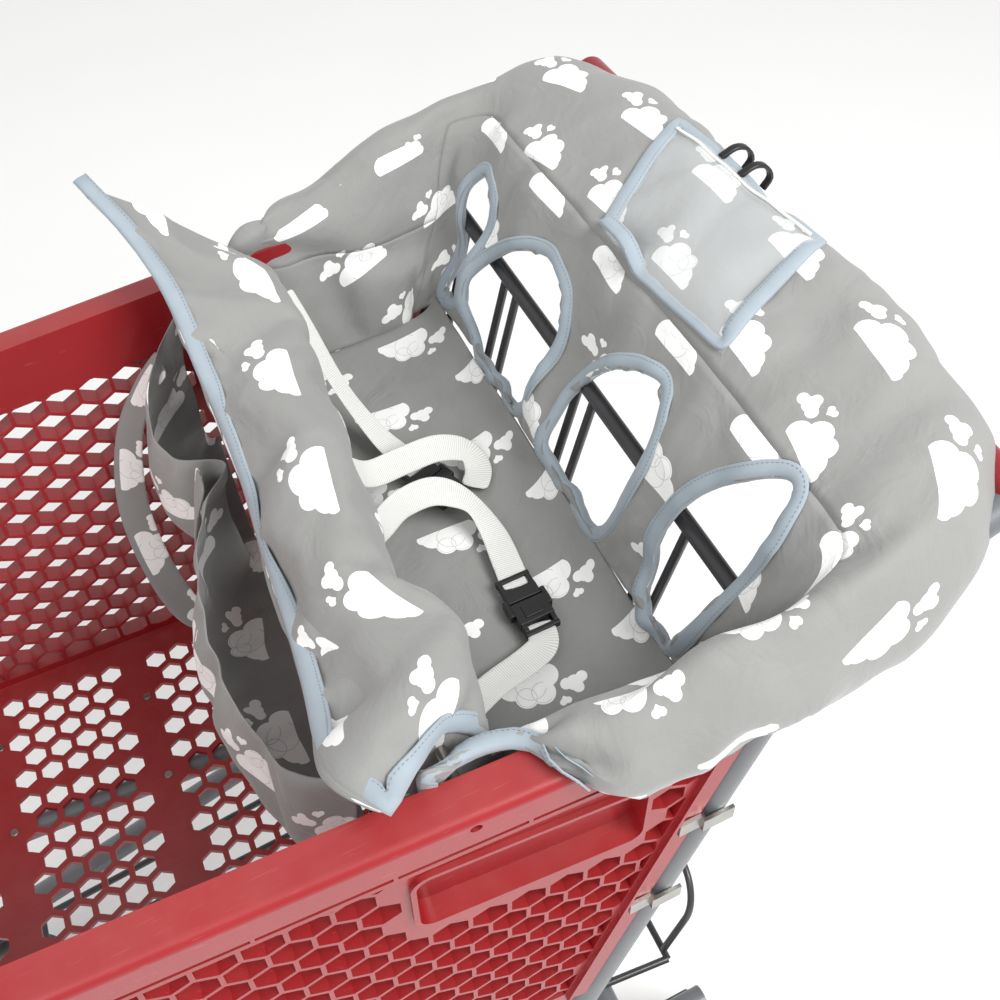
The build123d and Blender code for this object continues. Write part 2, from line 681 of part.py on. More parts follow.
# ---- wheels, forks, axles and swivel sockets ----
def wheel_pair(name, x, track):
    """Hub and tyre of the left and the right wheel at one station."""
    for side, side_name in ((1, "left"), (-1, "right")):
        middle = Plane(origin=(x, side * track, WHEEL_RADIUS), x_dir=(1, 0, 0), z_dir=(0, 1, 0))
        with BuildPart() as hub:
            with BuildSketch(middle.offset(-WHEEL_WIDTH / 2)):
                Circle(HUB_RADIUS)
                Circle(AXLE_RADIUS + RUNNING_FIT, mode=Mode.SUBTRACT)
            extrude(amount=WHEEL_WIDTH)
            for face in (WHEEL_WIDTH / 2 - 8, -WHEEL_WIDTH / 2):
                with BuildSketch(middle.offset(face)):
                    Circle(HUB_RADIUS - 6)
                    Circle(AXLE_RADIUS + 9, mode=Mode.SUBTRACT)
                extrude(amount=8, mode=Mode.SUBTRACT)
        save(hub, f"{name}_hub_{side_name}")
        with BuildPart() as tyre:
            with BuildSketch(middle.offset(-WHEEL_WIDTH / 2)):
                Circle(WHEEL_RADIUS)
                Circle(HUB_RADIUS, mode=Mode.SUBTRACT)
            extrude(amount=WHEEL_WIDTH)
            fillet(tyre.edges().filter_by(GeomType.CIRCLE).group_by(lambda e: e.radius)[-1], 6)
        save(tyre, f"{name}_tyre_{side_name}")


wheel_pair("front", CASTER_X - CASTER_TRAIL, FRONT_TRACK)
wheel_pair("rear", REAR_WHEEL_X, REAR_TRACK)

FORK_HALF = WHEEL_WIDTH / 2 + FORK_GAP
SOCKET_BOTTOM = RAIL_HEIGHT - 23


def fork(x_axle, x_top, y, top):
    """Bent plate fork over a wheel, with its axle hole."""
    with BuildPart() as piece:
        with BuildSketch(Plane.XY.offset(top - FORK_PLATE)):
            with Locations(((x_axle + x_top) / 2, y)):
                RectangleRounded(48 + abs(x_top - x_axle), 2 * (FORK_HALF + FORK_PLATE), 4)
        extrude(amount=FORK_PLATE)
        for side in (1, -1):
            leg = Plane(origin=(0, y + side * (FORK_HALF + FORK_PLATE / 2), 0), x_dir=(1, 0, 0), z_dir=(0, -1, 0))
            with BuildSketch(leg.offset(-FORK_PLATE / 2)):
                Polygon(
                    (x_axle - 15, WHEEL_RADIUS),
                    (x_axle + 15, WHEEL_RADIUS),
                    (max(x_axle, x_top) + 20, top - FORK_PLATE),
                    (min(x_axle, x_top) - 20, top - FORK_PLATE),
                    align=None,
                )
                with Locations((x_axle, WHEEL_RADIUS)):
                    Circle(15)
                    Circle(AXLE_RADIUS, mode=Mode.SUBTRACT)
            extrude(amount=FORK_PLATE)
    return piece


front_fork = fork(CASTER_X - CASTER_TRAIL, CASTER_X, FRONT_TRACK, SOCKET_BOTTOM - 0.3)
with BuildPart() as caster_fork:
    add(front_fork.part)
    with Locations((CASTER_X, FRONT_TRACK, SOCKET_BOTTOM - 0.3)):
        Cylinder(STEM_RADIUS, 42, align=(Align.CENTER, Align.CENTER, Align.MIN))
save_pair(caster_fork, "caster_fork")

with BuildPart() as caster_socket:
    add(socket_envelope.part)
    with Locations((CASTER_X, FRONT_TRACK, SOCKET_BOTTOM)):
        Cylinder(STEM_RADIUS + RUNNING_FIT, 43, align=(Align.CENTER, Align.CENTER, Align.MIN), mode=Mode.SUBTRACT)
    fillet(caster_socket.edges().filter_by(GeomType.CIRCLE).group_by(Axis.Z)[-1], 4)
save_pair(caster_socket, "caster_socket")

rear_fork = fork(REAR_WHEEL_X, REAR_WHEEL_X, REAR_TRACK, RAIL_HEIGHT - RAIL_RADIUS)
save_pair(rear_fork, "rear_fork")

axle_reach = FORK_HALF + FORK_PLATE + 3
for axle_name, axle_x, axle_y in (
    ("front_axle", CASTER_X - CASTER_TRAIL, FRONT_TRACK),
    ("rear_axle", REAR_WHEEL_X, REAR_TRACK),
):
    with BuildPart() as axle:
        with BuildSketch(Plane.XZ.offset(-(axle_y - axle_reach))):
            with Locations((axle_x, WHEEL_RADIUS)):
                Circle(AXLE_RADIUS)
        extrude(amount=-2 * axle_reach)
        for side in (1, -1):
            inner = axle_y + side * (FORK_HALF + FORK_PLATE)
            with BuildSketch(Plane.XZ.offset(-inner)):
                with Locations((axle_x, WHEEL_RADIUS)):
                    RegularPolygon(8, 6)
            extrude(amount=-side * 5)
    save_pair(axle, axle_name)

# ---- front bumper along the rim ----
with BuildPart() as front_bumper:
    with BuildSketch(front_wall.offset(RIM_WIDTH)):
        with Locations((0, -RIM_SKIRT / 2)):
            RectangleRounded(2 * front_top_half - 110, RIM_SKIRT - 6, 8)
    extrude(amount=36)
    split(bisect_by=Plane(origin=(FRONT_END, 0, 0), z_dir=(1, 0, 0)), keep=Keep.BOTTOM)
save(front_bumper, "front_bumper")

# ---- padded cover over the handle and the child seat ----
BOLSTER_FRONT = -320       # where the leg panel hangs from the bolster
BOLSTER_LOW = 1030
BOLSTER_TOP = 1082
BOLSTER_HALF = 317
BOLSTER_PAD = 13


def bolster_section(inset):
    """Closed outline points of the bolster over the handle, set in from its outer face."""
    return [
        (BOLSTER_FRONT - inset, BOLSTER_LOW),
        (-345, BOLSTER_TOP - 20 - inset),
        (-410, BOLSTER_TOP - inset),
        (-470, BOLSTER_TOP - inset),
        (-508 + inset * 0.7, 1056 - inset * 0.7),
        (REAR_END + inset, 1005),
        (REAR_END + inset + 3, 930),
    ]


with BuildPart() as cover_bolster:
    with BuildSketch(Plane.XZ.offset(-BOLSTER_HALF)):
        Polygon(*bolster_section(0), *reversed(bolster_section(BOLSTER_PAD)), align=None)
    extrude(amount=2 * BOLSTER_HALF)
save(cover_bolster, "cover_bolster")

# side drapes outside the basket, turned in over the rim
WING_PAD = 16
WING_OUTLINE = (
    (-119, 958), (-204, 1000), (-318, 1050), (-402, 1080), (-470, 1076), (-515, 1040), (-522, 985),
    (-447, 930), (-380, 894), (-330, 882), (-286, 880), (-236, 890), (-189, 916),
)
WING_INNER = BOLSTER_HALF + SOFT_GAP
with BuildPart() as cover_wing:
    with BuildSketch(Plane.XZ.offset(-WING_INNER)):
        Polygon(*WING_OUTLINE, align=None)
    extrude(amount=-WING_PAD)
    lip_rear = -296
    lip_front = -130
    with BuildSketch(Plane.XZ.offset(-WING_INNER)):
        Polygon(
            (lip_front, rim_z(lip_front) + 1),
            (lip_front, rim_z(lip_front) + 15),
            (lip_rear, rim_z(lip_rear) + 15),
            (lip_rear, rim_z(lip_rear) + 1),
            align=None,
        )
    extrude(amount=46)
save_pair(cover_wing, "cover_wing")

# panel with the leg holes, hung in front of the gate
LEG_PANEL_PAD = 14
LEG_PANEL_GAP = SLEEVE_RADIUS + SOFT_GAP
gate_plane = Plane(
    origin=gate_point(0, 0),
    x_dir=(0, 1, 0),
    z_dir=(cos(radians(REAR_LEAN)), 0, sin(radians(REAR_LEAN))),
)
PANEL_TOP = BOLSTER_LOW - 4 - HINGE_Z
PANEL_LOW = -112
LEG_PANEL_HALF = 262
with BuildPart() as cover_leg_panel:
    with BuildSketch(gate_plane.offset(LEG_PANEL_GAP)):
        with Locations((0, (PANEL_TOP + PANEL_LOW) / 2)):
            Rectangle(2 * LEG_PANEL_HALF, PANEL_TOP - PANEL_LOW)
        for middle, width in LEG_HOLES:
            with Locations((middle, LEG_HOLE_Z - HINGE_Z)):
                RectangleRounded(width, LEG_HOLE_HEIGHT, min(width, LEG_HOLE_HEIGHT) / 2 - 2, mode=Mode.SUBTRACT)
    extrude(amount=LEG_PANEL_PAD)
save(cover_leg_panel, "cover_leg_panel")

# seat pad on the flap
SEAT_PAD_HALF = 224
with BuildPart() as cover_seat_pad:
    with Locations(((flap_rear - 6 + SEAT_ROD_X - 37) / 2, 0, seat_pivot[2] + SOFT_GAP + SEAT_PAD / 2)):
        Box(SEAT_ROD_X - 37 - flap_rear + 6, 2 * SEAT_PAD_HALF, SEAT_PAD)
    fillet(cover_seat_pad.edges().filter_by(Axis.Z), 14)
save(cover_seat_pad, "cover_seat_pad")

# side walls of the padded well, against the side panels
WELL_PAD = 20
WELL_SIDE = ((-282, 958), (-98, 946), (-98, 830), (-246, 830))
with BuildPart() as cover_side:
    with BuildSketch(left_wall.offset(-SOFT_GAP)):
        Polygon(*[(REF_X - x, z - REF_Z) for x, z in WELL_SIDE], align=None)
    extrude(amount=-WELL_PAD)
save_pair(cover_side, "cover_side")

# back pad: up the seat back, over its rod and forward over the basket
BACK_PAD_HALF = 234
with BuildPart() as cover_back_pad:
    with BuildSketch(Plane.XZ.offset(-BACK_PAD_HALF)):
        Polygon(
            (SEAT_ROD_X - 28, 832),
            (SEAT_ROD_X - 24, HINGE_Z - 6),
            (SEAT_ROD_X - 16, HINGE_Z + 24),
            (-6, 1062),
            (4, 1050),
            (SEAT_ROD_X - 4.5, HINGE_Z + 11),
            (SEAT_ROD_X - 10.5, HINGE_Z - 9),
            (SEAT_ROD_X - 14, 832),
            align=None,
        )
    extrude(amount=2 * BACK_PAD_HALF)
save(cover_back_pad, "cover_back_pad")

# pouch that hangs on the basket side of the seat back
with BuildPart() as cover_pouch:
    hung_top = gate_point(9, 0, SEAT_ROD_X, WIRE_RADIUS + SOFT_GAP)
    hung_low = gate_point(SEAT_DROP - 8, 0, SEAT_ROD_X, WIRE_RADIUS + SOFT_GAP)
    with BuildSketch(Plane.XZ.offset(-160)):
        Polygon(
            (hung_top[0], hung_top[2]),
            (hung_low[0], hung_low[2]),
            (-26, 742),
            (16, 738),
            (34, 790),
            (14, 944),
            (-50, 944),
            align=None,
        )
    extrude(amount=360)
save(cover_pouch, "cover_pouch")

# clear window pocket on top of the bolster
pocket_plane = Plane(
    origin=(-378, -30, BOLSTER_TOP - 9.85 + SOFT_GAP),
    x_dir=(0, 1, 0),
    z_dir=(20, 0, 65),
)
with BuildPart() as window_pocket:
    with BuildSketch(pocket_plane):
        RectangleRounded(170, 62, 6)
    extrude(amount=1.5)
save(window_pocket, "window_pocket")

# webbing straps that lie on the seat pad, with their buckle
belt_z = seat_pivot[2] + SOFT_GAP + SEAT_PAD + 0.3
with BuildPart() as seat_belts:
    for side in (1, -1):
        with Locations((-180, side * 62, belt_z + BELT_THICKNESS / 2)):
            Box(BELT_WIDTH, 80, BELT_THICKNESS)
save(seat_belts, "seat_belts")
with BuildPart() as belt_buckle:
    with Locations((-180, 0, belt_z + 6)):
        Box(34, 43, 12)
    fillet(belt_buckle.edges().filter_by(Axis.Z), 6)
save(belt_buckle, "belt_buckle")
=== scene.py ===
"""Shopping cart with a padded cover on its child seat, in metres: +X to the front, +Y left, +Z up."""

import math

import bmesh
import bpy
import numpy as np
from mathutils import Matrix, Vector, noise
from mathutils.bvhtree import BVHTree


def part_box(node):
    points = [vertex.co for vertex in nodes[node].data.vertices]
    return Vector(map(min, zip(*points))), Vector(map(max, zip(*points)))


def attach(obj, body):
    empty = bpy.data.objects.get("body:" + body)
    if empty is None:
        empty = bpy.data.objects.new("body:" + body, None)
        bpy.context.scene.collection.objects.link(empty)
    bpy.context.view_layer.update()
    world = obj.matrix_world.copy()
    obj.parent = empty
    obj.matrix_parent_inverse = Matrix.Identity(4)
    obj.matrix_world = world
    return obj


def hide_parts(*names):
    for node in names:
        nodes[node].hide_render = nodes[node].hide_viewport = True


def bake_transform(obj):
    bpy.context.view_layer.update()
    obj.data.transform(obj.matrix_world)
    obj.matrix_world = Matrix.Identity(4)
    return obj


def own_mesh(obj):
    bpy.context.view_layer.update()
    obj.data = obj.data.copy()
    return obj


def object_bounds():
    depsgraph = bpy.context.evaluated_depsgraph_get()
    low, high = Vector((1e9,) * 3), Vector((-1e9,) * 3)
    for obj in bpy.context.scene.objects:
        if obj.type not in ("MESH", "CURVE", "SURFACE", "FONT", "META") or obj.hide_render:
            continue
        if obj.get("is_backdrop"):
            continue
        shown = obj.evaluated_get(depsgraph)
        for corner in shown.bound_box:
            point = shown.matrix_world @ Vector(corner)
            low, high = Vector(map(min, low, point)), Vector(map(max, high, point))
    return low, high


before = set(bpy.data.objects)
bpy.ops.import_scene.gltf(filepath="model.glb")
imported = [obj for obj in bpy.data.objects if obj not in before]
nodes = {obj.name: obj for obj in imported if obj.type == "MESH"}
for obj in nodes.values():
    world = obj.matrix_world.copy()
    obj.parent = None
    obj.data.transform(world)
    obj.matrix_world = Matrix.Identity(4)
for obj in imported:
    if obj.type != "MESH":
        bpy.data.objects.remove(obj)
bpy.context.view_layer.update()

# ---- basket walls, floor and seat flap ----
# Moulded red polypropylene: a honeycomb lattice under a glossy rolled rim. The mould's texture and
# years of goods sliding past leave it satin, dusty on the level faces and pale on its rubbed edges.


def linear(code):
    """Linear colour of an sRGB hex code."""
    parts = [int(code[i : i + 2], 16) / 255 for i in (1, 3, 5)]
    return [p / 12.92 if p < 0.04045 else ((p + 0.055) / 1.055) ** 2.4 for p in parts] + [1.0]


def add(tree, kind, inputs=None, **settings):
    """Adds a node with its settings; each input is a value or the socket that feeds it."""
    made = tree.nodes.new("ShaderNode" + kind if tree.type == "SHADER" else kind)
    for name, value in settings.items():
        setattr(made, name, value)
    for name, value in (inputs or {}).items():
        if isinstance(value, bpy.types.NodeSocket):
            tree.links.new(value, made.inputs[name])
        else:
            made.inputs[name].default_value = value
    return made


def finish_material(name, **shader_values):
    """New material with one Principled shader, and its node tree and shader."""
    made = bpy.data.materials.new(name)
    made.use_nodes = True
    tree = made.node_tree
    shader = tree.nodes["Principled BSDF"]
    for socket, value in shader_values.items():
        shader.inputs[socket.replace("_", " ")].default_value = value
    return made, tree, shader


def vary(tree, shader, point, colours, spread, rough, grain, bump):
    """Colour between two tones, uneven roughness and a fine bump, all from noise on one point."""
    drift = add(tree, "TexNoise", {"Vector": point, "Scale": spread, "Detail": 5.0})
    tones = add(tree, "Mix", {0: drift.outputs[0], 6: linear(colours[0]), 7: linear(colours[1])}, data_type="RGBA")
    fine = add(tree, "TexNoise", {"Vector": point, "Scale": grain, "Detail": 3.0})
    sheen = add(tree, "MapRange", {0: fine.outputs[0], 3: rough[0], 4: rough[1]})
    relief = add(tree, "Bump", {"Height": fine.outputs[0], "Strength": bump, "Distance": 0.0005})
    tree.links.new(tones.outputs[2], shader.inputs["Base Color"])
    tree.links.new(sheen.outputs[0], shader.inputs["Roughness"])
    tree.links.new(relief.outputs[0], shader.inputs["Normal"])
    return tones, relief


red_plastic, tree, shader = finish_material("moulded_polypropylene_red", IOR=1.49, Coat_Weight=0.15, Coat_Roughness=0.2)
place = add(tree, "TexCoord").outputs["Object"]
tones, _ = vary(tree, shader, place, ("#860e16", "#991a20"), 9.0, (0.3, 0.46), 900.0, 0.12)
facing = add(tree, "SeparateXYZ", {0: add(tree, "NewGeometry").outputs["Normal"]})
level = add(tree, "MapRange", {0: facing.outputs[2], 1: 0.75, 2: 1.0, 3: 0.0, 4: 0.16})
dust = add(tree, "TexNoise", {"Vector": place, "Scale": 35.0, "Detail": 6.0})
film = add(tree, "Math", {0: level.outputs[0], 1: dust.outputs[0]}, operation="MULTIPLY")
dusty = add(tree, "Mix", {0: film.outputs[0], 6: tones.outputs[2], 7: linear("#b98880")}, data_type="RGBA")
scratch = add(tree, "TexNoise", {"Vector": add(tree, "Mapping", {0: place, 3: (6, 220, 90)}).outputs[0], "Scale": 4.0, "Detail": 4.0})
line = add(tree, "MapRange", {0: scratch.outputs[0], 1: 0.66, 2: 0.7, 3: 0.0, 4: 0.3})
worn = add(tree, "Mix", {0: line.outputs[0], 6: dusty.outputs[2], 7: linear("#c25a55")}, data_type="RGBA")
tree.links.new(worn.outputs[2], shader.inputs["Base Color"])


def dress(material, slot, *names):
    """Gives the CAD nodes of these names one material; the slot argument is not used."""
    for name in names:
        nodes[name].data.materials.clear()
        nodes[name].data.materials.append(material)


dress(red_plastic, "basket_plastic", "side_panel_left", "side_panel_right", "front_panel", "floor_panel", "seat_flap")

# ---- front bumper and tyres ----
# The bumper strip is black moulded rubber; the tyres are grey polyurethane, scuffed by shop floors.

rubber, tree, shader = finish_material("moulded_rubber_black", IOR=1.52)
place = add(tree, "TexCoord").outputs["Object"]
vary(tree, shader, place, ("#161616", "#262625"), 30.0, (0.6, 0.85), 1500.0, 0.2)
dress(rubber, "bumper_rubber", "front_bumper")
tyre, tree, shader = finish_material("polyurethane_grey", IOR=1.5)
place = add(tree, "TexCoord").outputs["Object"]
vary(tree, shader, place, ("#39393a", "#565453"), 60.0, (0.5, 0.8), 900.0, 0.25)
sides = ("left", "right")
dress(tyre, "tyre_rubber", *[f"{end}_tyre_{side}" for end in ("front", "rear") for side in sides])

# ---- tube frame, wire gate and rack ----
# Steel tube and wire, welded and powder coated: grey on the tubes, near black on the wires. The
# coat has a slight orange-peel skin. Clips, forks, axles and rivets are bright zinc plated steel.

tube_coat, tree, shader = finish_material("powder_coated_steel_grey", Metallic=0.0, IOR=1.5, Coat_Weight=0.2)
place = add(tree, "TexCoord").outputs["Object"]
vary(tree, shader, place, ("#5d6063", "#6d7073"), 14.0, (0.32, 0.5), 700.0, 0.2)
wire_coat, tree, shader = finish_material("powder_coated_wire_dark", Metallic=0.0, IOR=1.5, Coat_Weight=0.3)
place = add(tree, "TexCoord").outputs["Object"]
vary(tree, shader, place, ("#232325", "#37373a"), 40.0, (0.3, 0.5), 900.0, 0.15)
zinc, tree, shader = finish_material("zinc_plated_steel", Metallic=1.0)
place = add(tree, "TexCoord").outputs["Object"]
vary(tree, shader, place, ("#8f8e8a", "#b4b2ab"), 45.0, (0.22, 0.42), 600.0, 0.1)
dress(tube_coat, "tube_steel", "base_cross_front", "base_cross_rear", "basket_cross",
      *[f"{part}_{side}" for part in ("rear_upright", "base_rail", "floor_beam", "rear_fork", "caster_socket") for side in sides])
dress(wire_coat, "wire_steel", "bottom_rack", "rack_hoop", "gate_sleeve", "gate_rods", "gate_cross_rods",
      "seat_pivot_rod", "seat_back_frame")
dress(zinc, "plated_steel", "upright_clips", "floor_rivets", "seat_rod", "gate_rod",
      *[f"{part}_{side}" for part in ("caster_fork", "front_axle", "rear_axle") for side in sides])

# ---- handle grip and wheel hubs ----
# The grip and its brackets are smooth red moulded plastic, the hubs dark nylon with a matt skin.

grip_plastic, tree, shader = finish_material("moulded_abs_red", IOR=1.53, Coat_Weight=0.2)
place = add(tree, "TexCoord").outputs["Object"]
vary(tree, shader, place, ("#7a0f14", "#8b171b"), 12.0, (0.25, 0.4), 800.0, 0.08)
dress(grip_plastic, "grip_plastic", "handle_grip", "handle_bracket_left", "handle_bracket_right")
hub_nylon, tree, shader = finish_material("moulded_nylon_dark", IOR=1.53)
place = add(tree, "TexCoord").outputs["Object"]
vary(tree, shader, place, ("#37383a", "#47484a"), 30.0, (0.45, 0.65), 1100.0, 0.15)
dress(hub_nylon, "hub_plastic", *[f"{end}_hub_{side}" for end in ("front", "rear") for side in sides])

# ---- printed cover cloth ----
# Grey plain-woven polyester with white clouds and hearts screen printed on it, quilted to thin
# wadding. It has a dull sheen, and the print is slightly smoother than the weave around it.

PRINT_WIDTH = 0.104        # repeat of the print across the cloth
PRINT_HEIGHT = 0.078
BIG_CLOUD = ((0, 0, 14), (-14, -3, 10), (14, -4, 11), (-6, 9, 10), (7, 8, 9), (22, -7, 6))
SMALL_CLOUD = ((-31, 13, 6.5), (-38, 11, 4.5), (-25, 11, 4.8), (-32, 18, 4.4))
HEART = ((-20.4, 23.6, 2.7), (-16.2, 23.6, 2.7))
WEAVE = 0.0011             # thread pitch, drawn about three times coarser than real so that it shows


def printed_cloth(name, ground, shade, shift=(0.0, 0.0)):
    """Woven cloth with the cloud print in its own UV map, in metres."""
    made, tree, shader = finish_material(name, IOR=1.5, Sheen_Weight=0.25, Sheen_Roughness=0.5)

    def calc(kind, a, b=0.0, c=0.0):
        return add(tree, "Math", {0: a, 1: b, 2: c}, operation=kind).outputs[0]

    flat = add(tree, "UVMap", uv_map="cloth").outputs[0]
    parts = add(tree, "SeparateXYZ", {0: flat})
    across, up = calc("ADD", parts.outputs[0], shift[0]), calc("ADD", parts.outputs[1], shift[1])
    row = calc("FLOOR", calc("DIVIDE", up, PRINT_HEIGHT))
    stagger = calc("MULTIPLY", calc("PINGPONG", row, 1.0), PRINT_WIDTH / 2)
    cell_x = calc("SUBTRACT", calc("WRAP", calc("ADD", across, stagger), PRINT_WIDTH, 0.0), PRINT_WIDTH / 2)
    cell_y = calc("SUBTRACT", calc("WRAP", up, PRINT_HEIGHT, 0.0), PRINT_HEIGHT / 2)
    spot = add(tree, "CombineXYZ", {0: cell_x, 1: cell_y}).outputs[0]
    inked, lines = 0.0, 0.0
    for blob in BIG_CLOUD + SMALL_CLOUD + HEART:
        middle = ((blob[0] + 4) / 1000, (blob[1] - 7) / 1000, 0)
        gap = add(tree, "VectorMath", {0: spot, 1: middle}, operation="DISTANCE").outputs["Value"]
        inked = calc("MAXIMUM", inked, calc("LESS_THAN", gap, blob[2] / 1000))
        if blob in BIG_CLOUD[3:5] + BIG_CLOUD[:1]:
            lines = calc("MAXIMUM", lines, calc("COMPARE", gap, blob[2] / 1000 * 0.86, 0.00028))
    point_x = calc("ABSOLUTE", calc("SUBTRACT", cell_x, (-18.3 + 4) / 1000))
    drop = calc("SUBTRACT", (23.2 - 7) / 1000, cell_y)
    tip = calc("LESS_THAN", calc("ADD", point_x, drop), 0.0047)
    inked = calc("MAXIMUM", inked, calc("MULTIPLY", tip, calc("GREATER_THAN", drop, 0.0)))
    above = calc("MAXIMUM", calc("GREATER_THAN", cell_y, -0.0175), calc("LESS_THAN", cell_x, -0.02))
    ink = calc("MULTIPLY", inked, above)
    drawn = calc("MULTIPLY", lines, calc("GREATER_THAN", cell_x, -0.006))
    ink = calc("SUBTRACT", ink, calc("MULTIPLY", drawn, 0.5))
    ink = calc("MAXIMUM", ink, 0.0)
    warp = add(tree, "TexWave", {"Vector": flat, "Scale": 1 / WEAVE / 6.28 * 2, "Distortion": 0.0}, bands_direction="X")
    weft = add(tree, "TexWave", {"Vector": flat, "Scale": 1 / WEAVE / 6.28 * 2, "Distortion": 0.0}, bands_direction="Y")
    threads = calc("MULTIPLY", warp.outputs[1], weft.outputs[1])
    drift = add(tree, "TexNoise", {"Vector": flat, "Scale": 14.0, "Detail": 4.0})
    slub = add(tree, "TexNoise", {"Vector": flat, "Scale": 900.0, "Detail": 2.0})
    base = add(tree, "Mix", {0: drift.outputs[0], 6: linear(ground), 7: linear(shade)}, data_type="RGBA")
    yarn = add(tree, "Mix", {0: calc("MULTIPLY", slub.outputs[0], 0.16), 6: base.outputs[2], 7: linear("#a5a5a2")}, data_type="RGBA")
    printed = add(tree, "Mix", {0: ink, 6: yarn.outputs[2], 7: linear("#eeeeec")}, data_type="RGBA")
    crease = add(tree, "TexNoise", {"Vector": flat, "Scale": 26.0, "Detail": 3.0, "Distortion": 1.2})
    soft = add(tree, "Bump", {"Height": crease.outputs[0], "Strength": 0.5, "Distance": 0.005})
    relief = add(tree, "Bump", {"Height": threads, "Strength": 0.25, "Distance": 0.0003, "Normal": soft.outputs[0]})
    rough = add(tree, "MapRange", {0: ink, 3: 0.82, 4: 0.66})
    tree.links.new(printed.outputs[2], shader.inputs["Base Color"])
    tree.links.new(rough.outputs[0], shader.inputs["Roughness"])
    tree.links.new(relief.outputs[0], shader.inputs["Normal"])
    return made


cover_cloth = printed_cloth("printed_polyester_grey", "#7f7f7d", "#8b8b89")

# ---- bias binding ----
# Blue-grey woven tape, folded over each cut edge of the cover and sewn through with one line of
# stitches. It stands a little proud of the cloth, and puckers slightly where it turns.

binding_tape, tree, shader = finish_material("woven_tape_blue_grey", IOR=1.5, Sheen_Weight=0.3)
place = add(tree, "TexCoord").outputs["Object"]
vary(tree, shader, place, ("#8c97a0", "#9ba6ae"), 60.0, (0.7, 0.9), 1400.0, 0.3)
thread, tree, shader = finish_material("polyester_thread_grey", IOR=1.5)
place = add(tree, "TexCoord").outputs["Object"]
vary(tree, shader, place, ("#6d7881", "#7c868e"), 200.0, (0.6, 0.8), 2500.0, 0.2)

TAPE_WIDTH = 0.0115
TAPE_RISE = 0.0012
STITCH_PITCH = 0.0036


def new_object(name, points, faces, materials=(), uv=None, smooth=True):
    """Mesh object at the origin from points and faces, with a UV for each point if given."""
    mesh = bpy.data.meshes.new(name)
    mesh.from_pydata([tuple(p) for p in points], [], [tuple(f) for f in faces])
    for material in materials:
        mesh.materials.append(material)
    if uv is not None:
        layer = mesh.uv_layers.new(name="cloth")
        index = np.zeros(len(mesh.loops), np.int32)
        mesh.loops.foreach_get("vertex_index", index)
        layer.data.foreach_set("uv", np.asarray(uv, np.float32)[index].ravel())
    if smooth:
        mesh.polygons.foreach_set("use_smooth", [True] * len(mesh.polygons))
    mesh.update()
    made = bpy.data.objects.new(name, mesh)
    bpy.context.scene.collection.objects.link(made)
    return made


def stitch_tree():
    """Geometry Nodes: short stitches laid end to end along a path."""
    tree = bpy.data.node_groups.new("stitches", "GeometryNodeTree")
    face = tree.interface
    face.new_socket("Path", in_out="INPUT", socket_type="NodeSocketGeometry")
    for name in ("Pitch", "Length", "Radius"):
        face.new_socket(name, in_out="INPUT", socket_type="NodeSocketFloat")
    face.new_socket("Thread", in_out="INPUT", socket_type="NodeSocketMaterial")
    face.new_socket("Stitches", in_out="OUTPUT", socket_type="NodeSocketGeometry")
    given = add(tree, "NodeGroupInput").outputs
    curve = add(tree, "GeometryNodeMeshToCurve", {0: given["Path"]})
    spaced = add(tree, "GeometryNodeResampleCurve", {"Curve": curve.outputs[0], "Length": given["Pitch"]}, mode="LENGTH")
    ball = add(tree, "GeometryNodeMeshIcoSphere", {"Radius": given["Radius"], "Subdivisions": 1})
    stretch = add(tree, "ShaderNodeMath", {0: given["Length"], 1: given["Radius"]}, operation="DIVIDE")
    size = add(tree, "ShaderNodeCombineXYZ", {0: 1.0, 1: 1.0, 2: stretch.outputs[0]})
    tangent = add(tree, "GeometryNodeInputTangent")
    turn = add(tree, "FunctionNodeAlignEulerToVector", {"Vector": tangent.outputs[0]}, axis="Z")
    placed = add(tree, "GeometryNodeInstanceOnPoints", {"Points": spaced.outputs[0], "Instance": ball.outputs[0],
                                                        "Rotation": turn.outputs[0], "Scale": size.outputs[0]})
    real = add(tree, "GeometryNodeRealizeInstances", {0: placed.outputs[0]})
    inked = add(tree, "GeometryNodeSetMaterial", {"Geometry": real.outputs[0], "Material": given["Thread"]})
    result = add(tree, "NodeGroupOutput")
    tree.links.new(inked.outputs[0], result.inputs[0])
    return tree


STITCHES = stitch_tree()


def sew(name, lines, pitch=STITCH_PITCH, length=0.0012, radius=0.0003, material=thread):
    """Stitches along open or closed lines of points, as one plain mesh."""
    mesh = bpy.data.meshes.new(name + "_path")
    points, edges = [], []
    for line, closed in lines:
        first = len(points)
        points += [tuple(p) for p in line]
        edges += [(first + i, first + i + 1) for i in range(len(line) - 1)]
        if closed:
            edges.append((len(points) - 1, first))
    mesh.from_pydata(points, edges, [])
    path = bpy.data.objects.new(name + "_path", mesh)
    bpy.context.scene.collection.objects.link(path)
    step = path.modifiers.new("stitches", "NODES")
    step.node_group = STITCHES
    sockets = {s.name: s.identifier for s in STITCHES.interface.items_tree if s.in_out == "INPUT"}
    for key, value in (("Pitch", pitch), ("Length", length), ("Radius", radius), ("Thread", material)):
        step[sockets[key]] = value
    bpy.context.view_layer.update()
    shown = path.evaluated_get(bpy.context.evaluated_depsgraph_get())
    made = bpy.data.objects.new(name, bpy.data.meshes.new_from_object(shown))
    bpy.context.scene.collection.objects.link(made)
    bpy.data.objects.remove(path)
    return made


def relax(values, turns, closed):
    """Evens out a line of points."""
    out = values.copy()
    for _ in range(turns):
        ahead, behind = np.roll(out, -1, 0), np.roll(out, 1, 0)
        even = out * 0.5 + (ahead + behind) * 0.25
        if not closed:
            even[0], even[-1] = out[0], out[-1]
        out = even
    return out


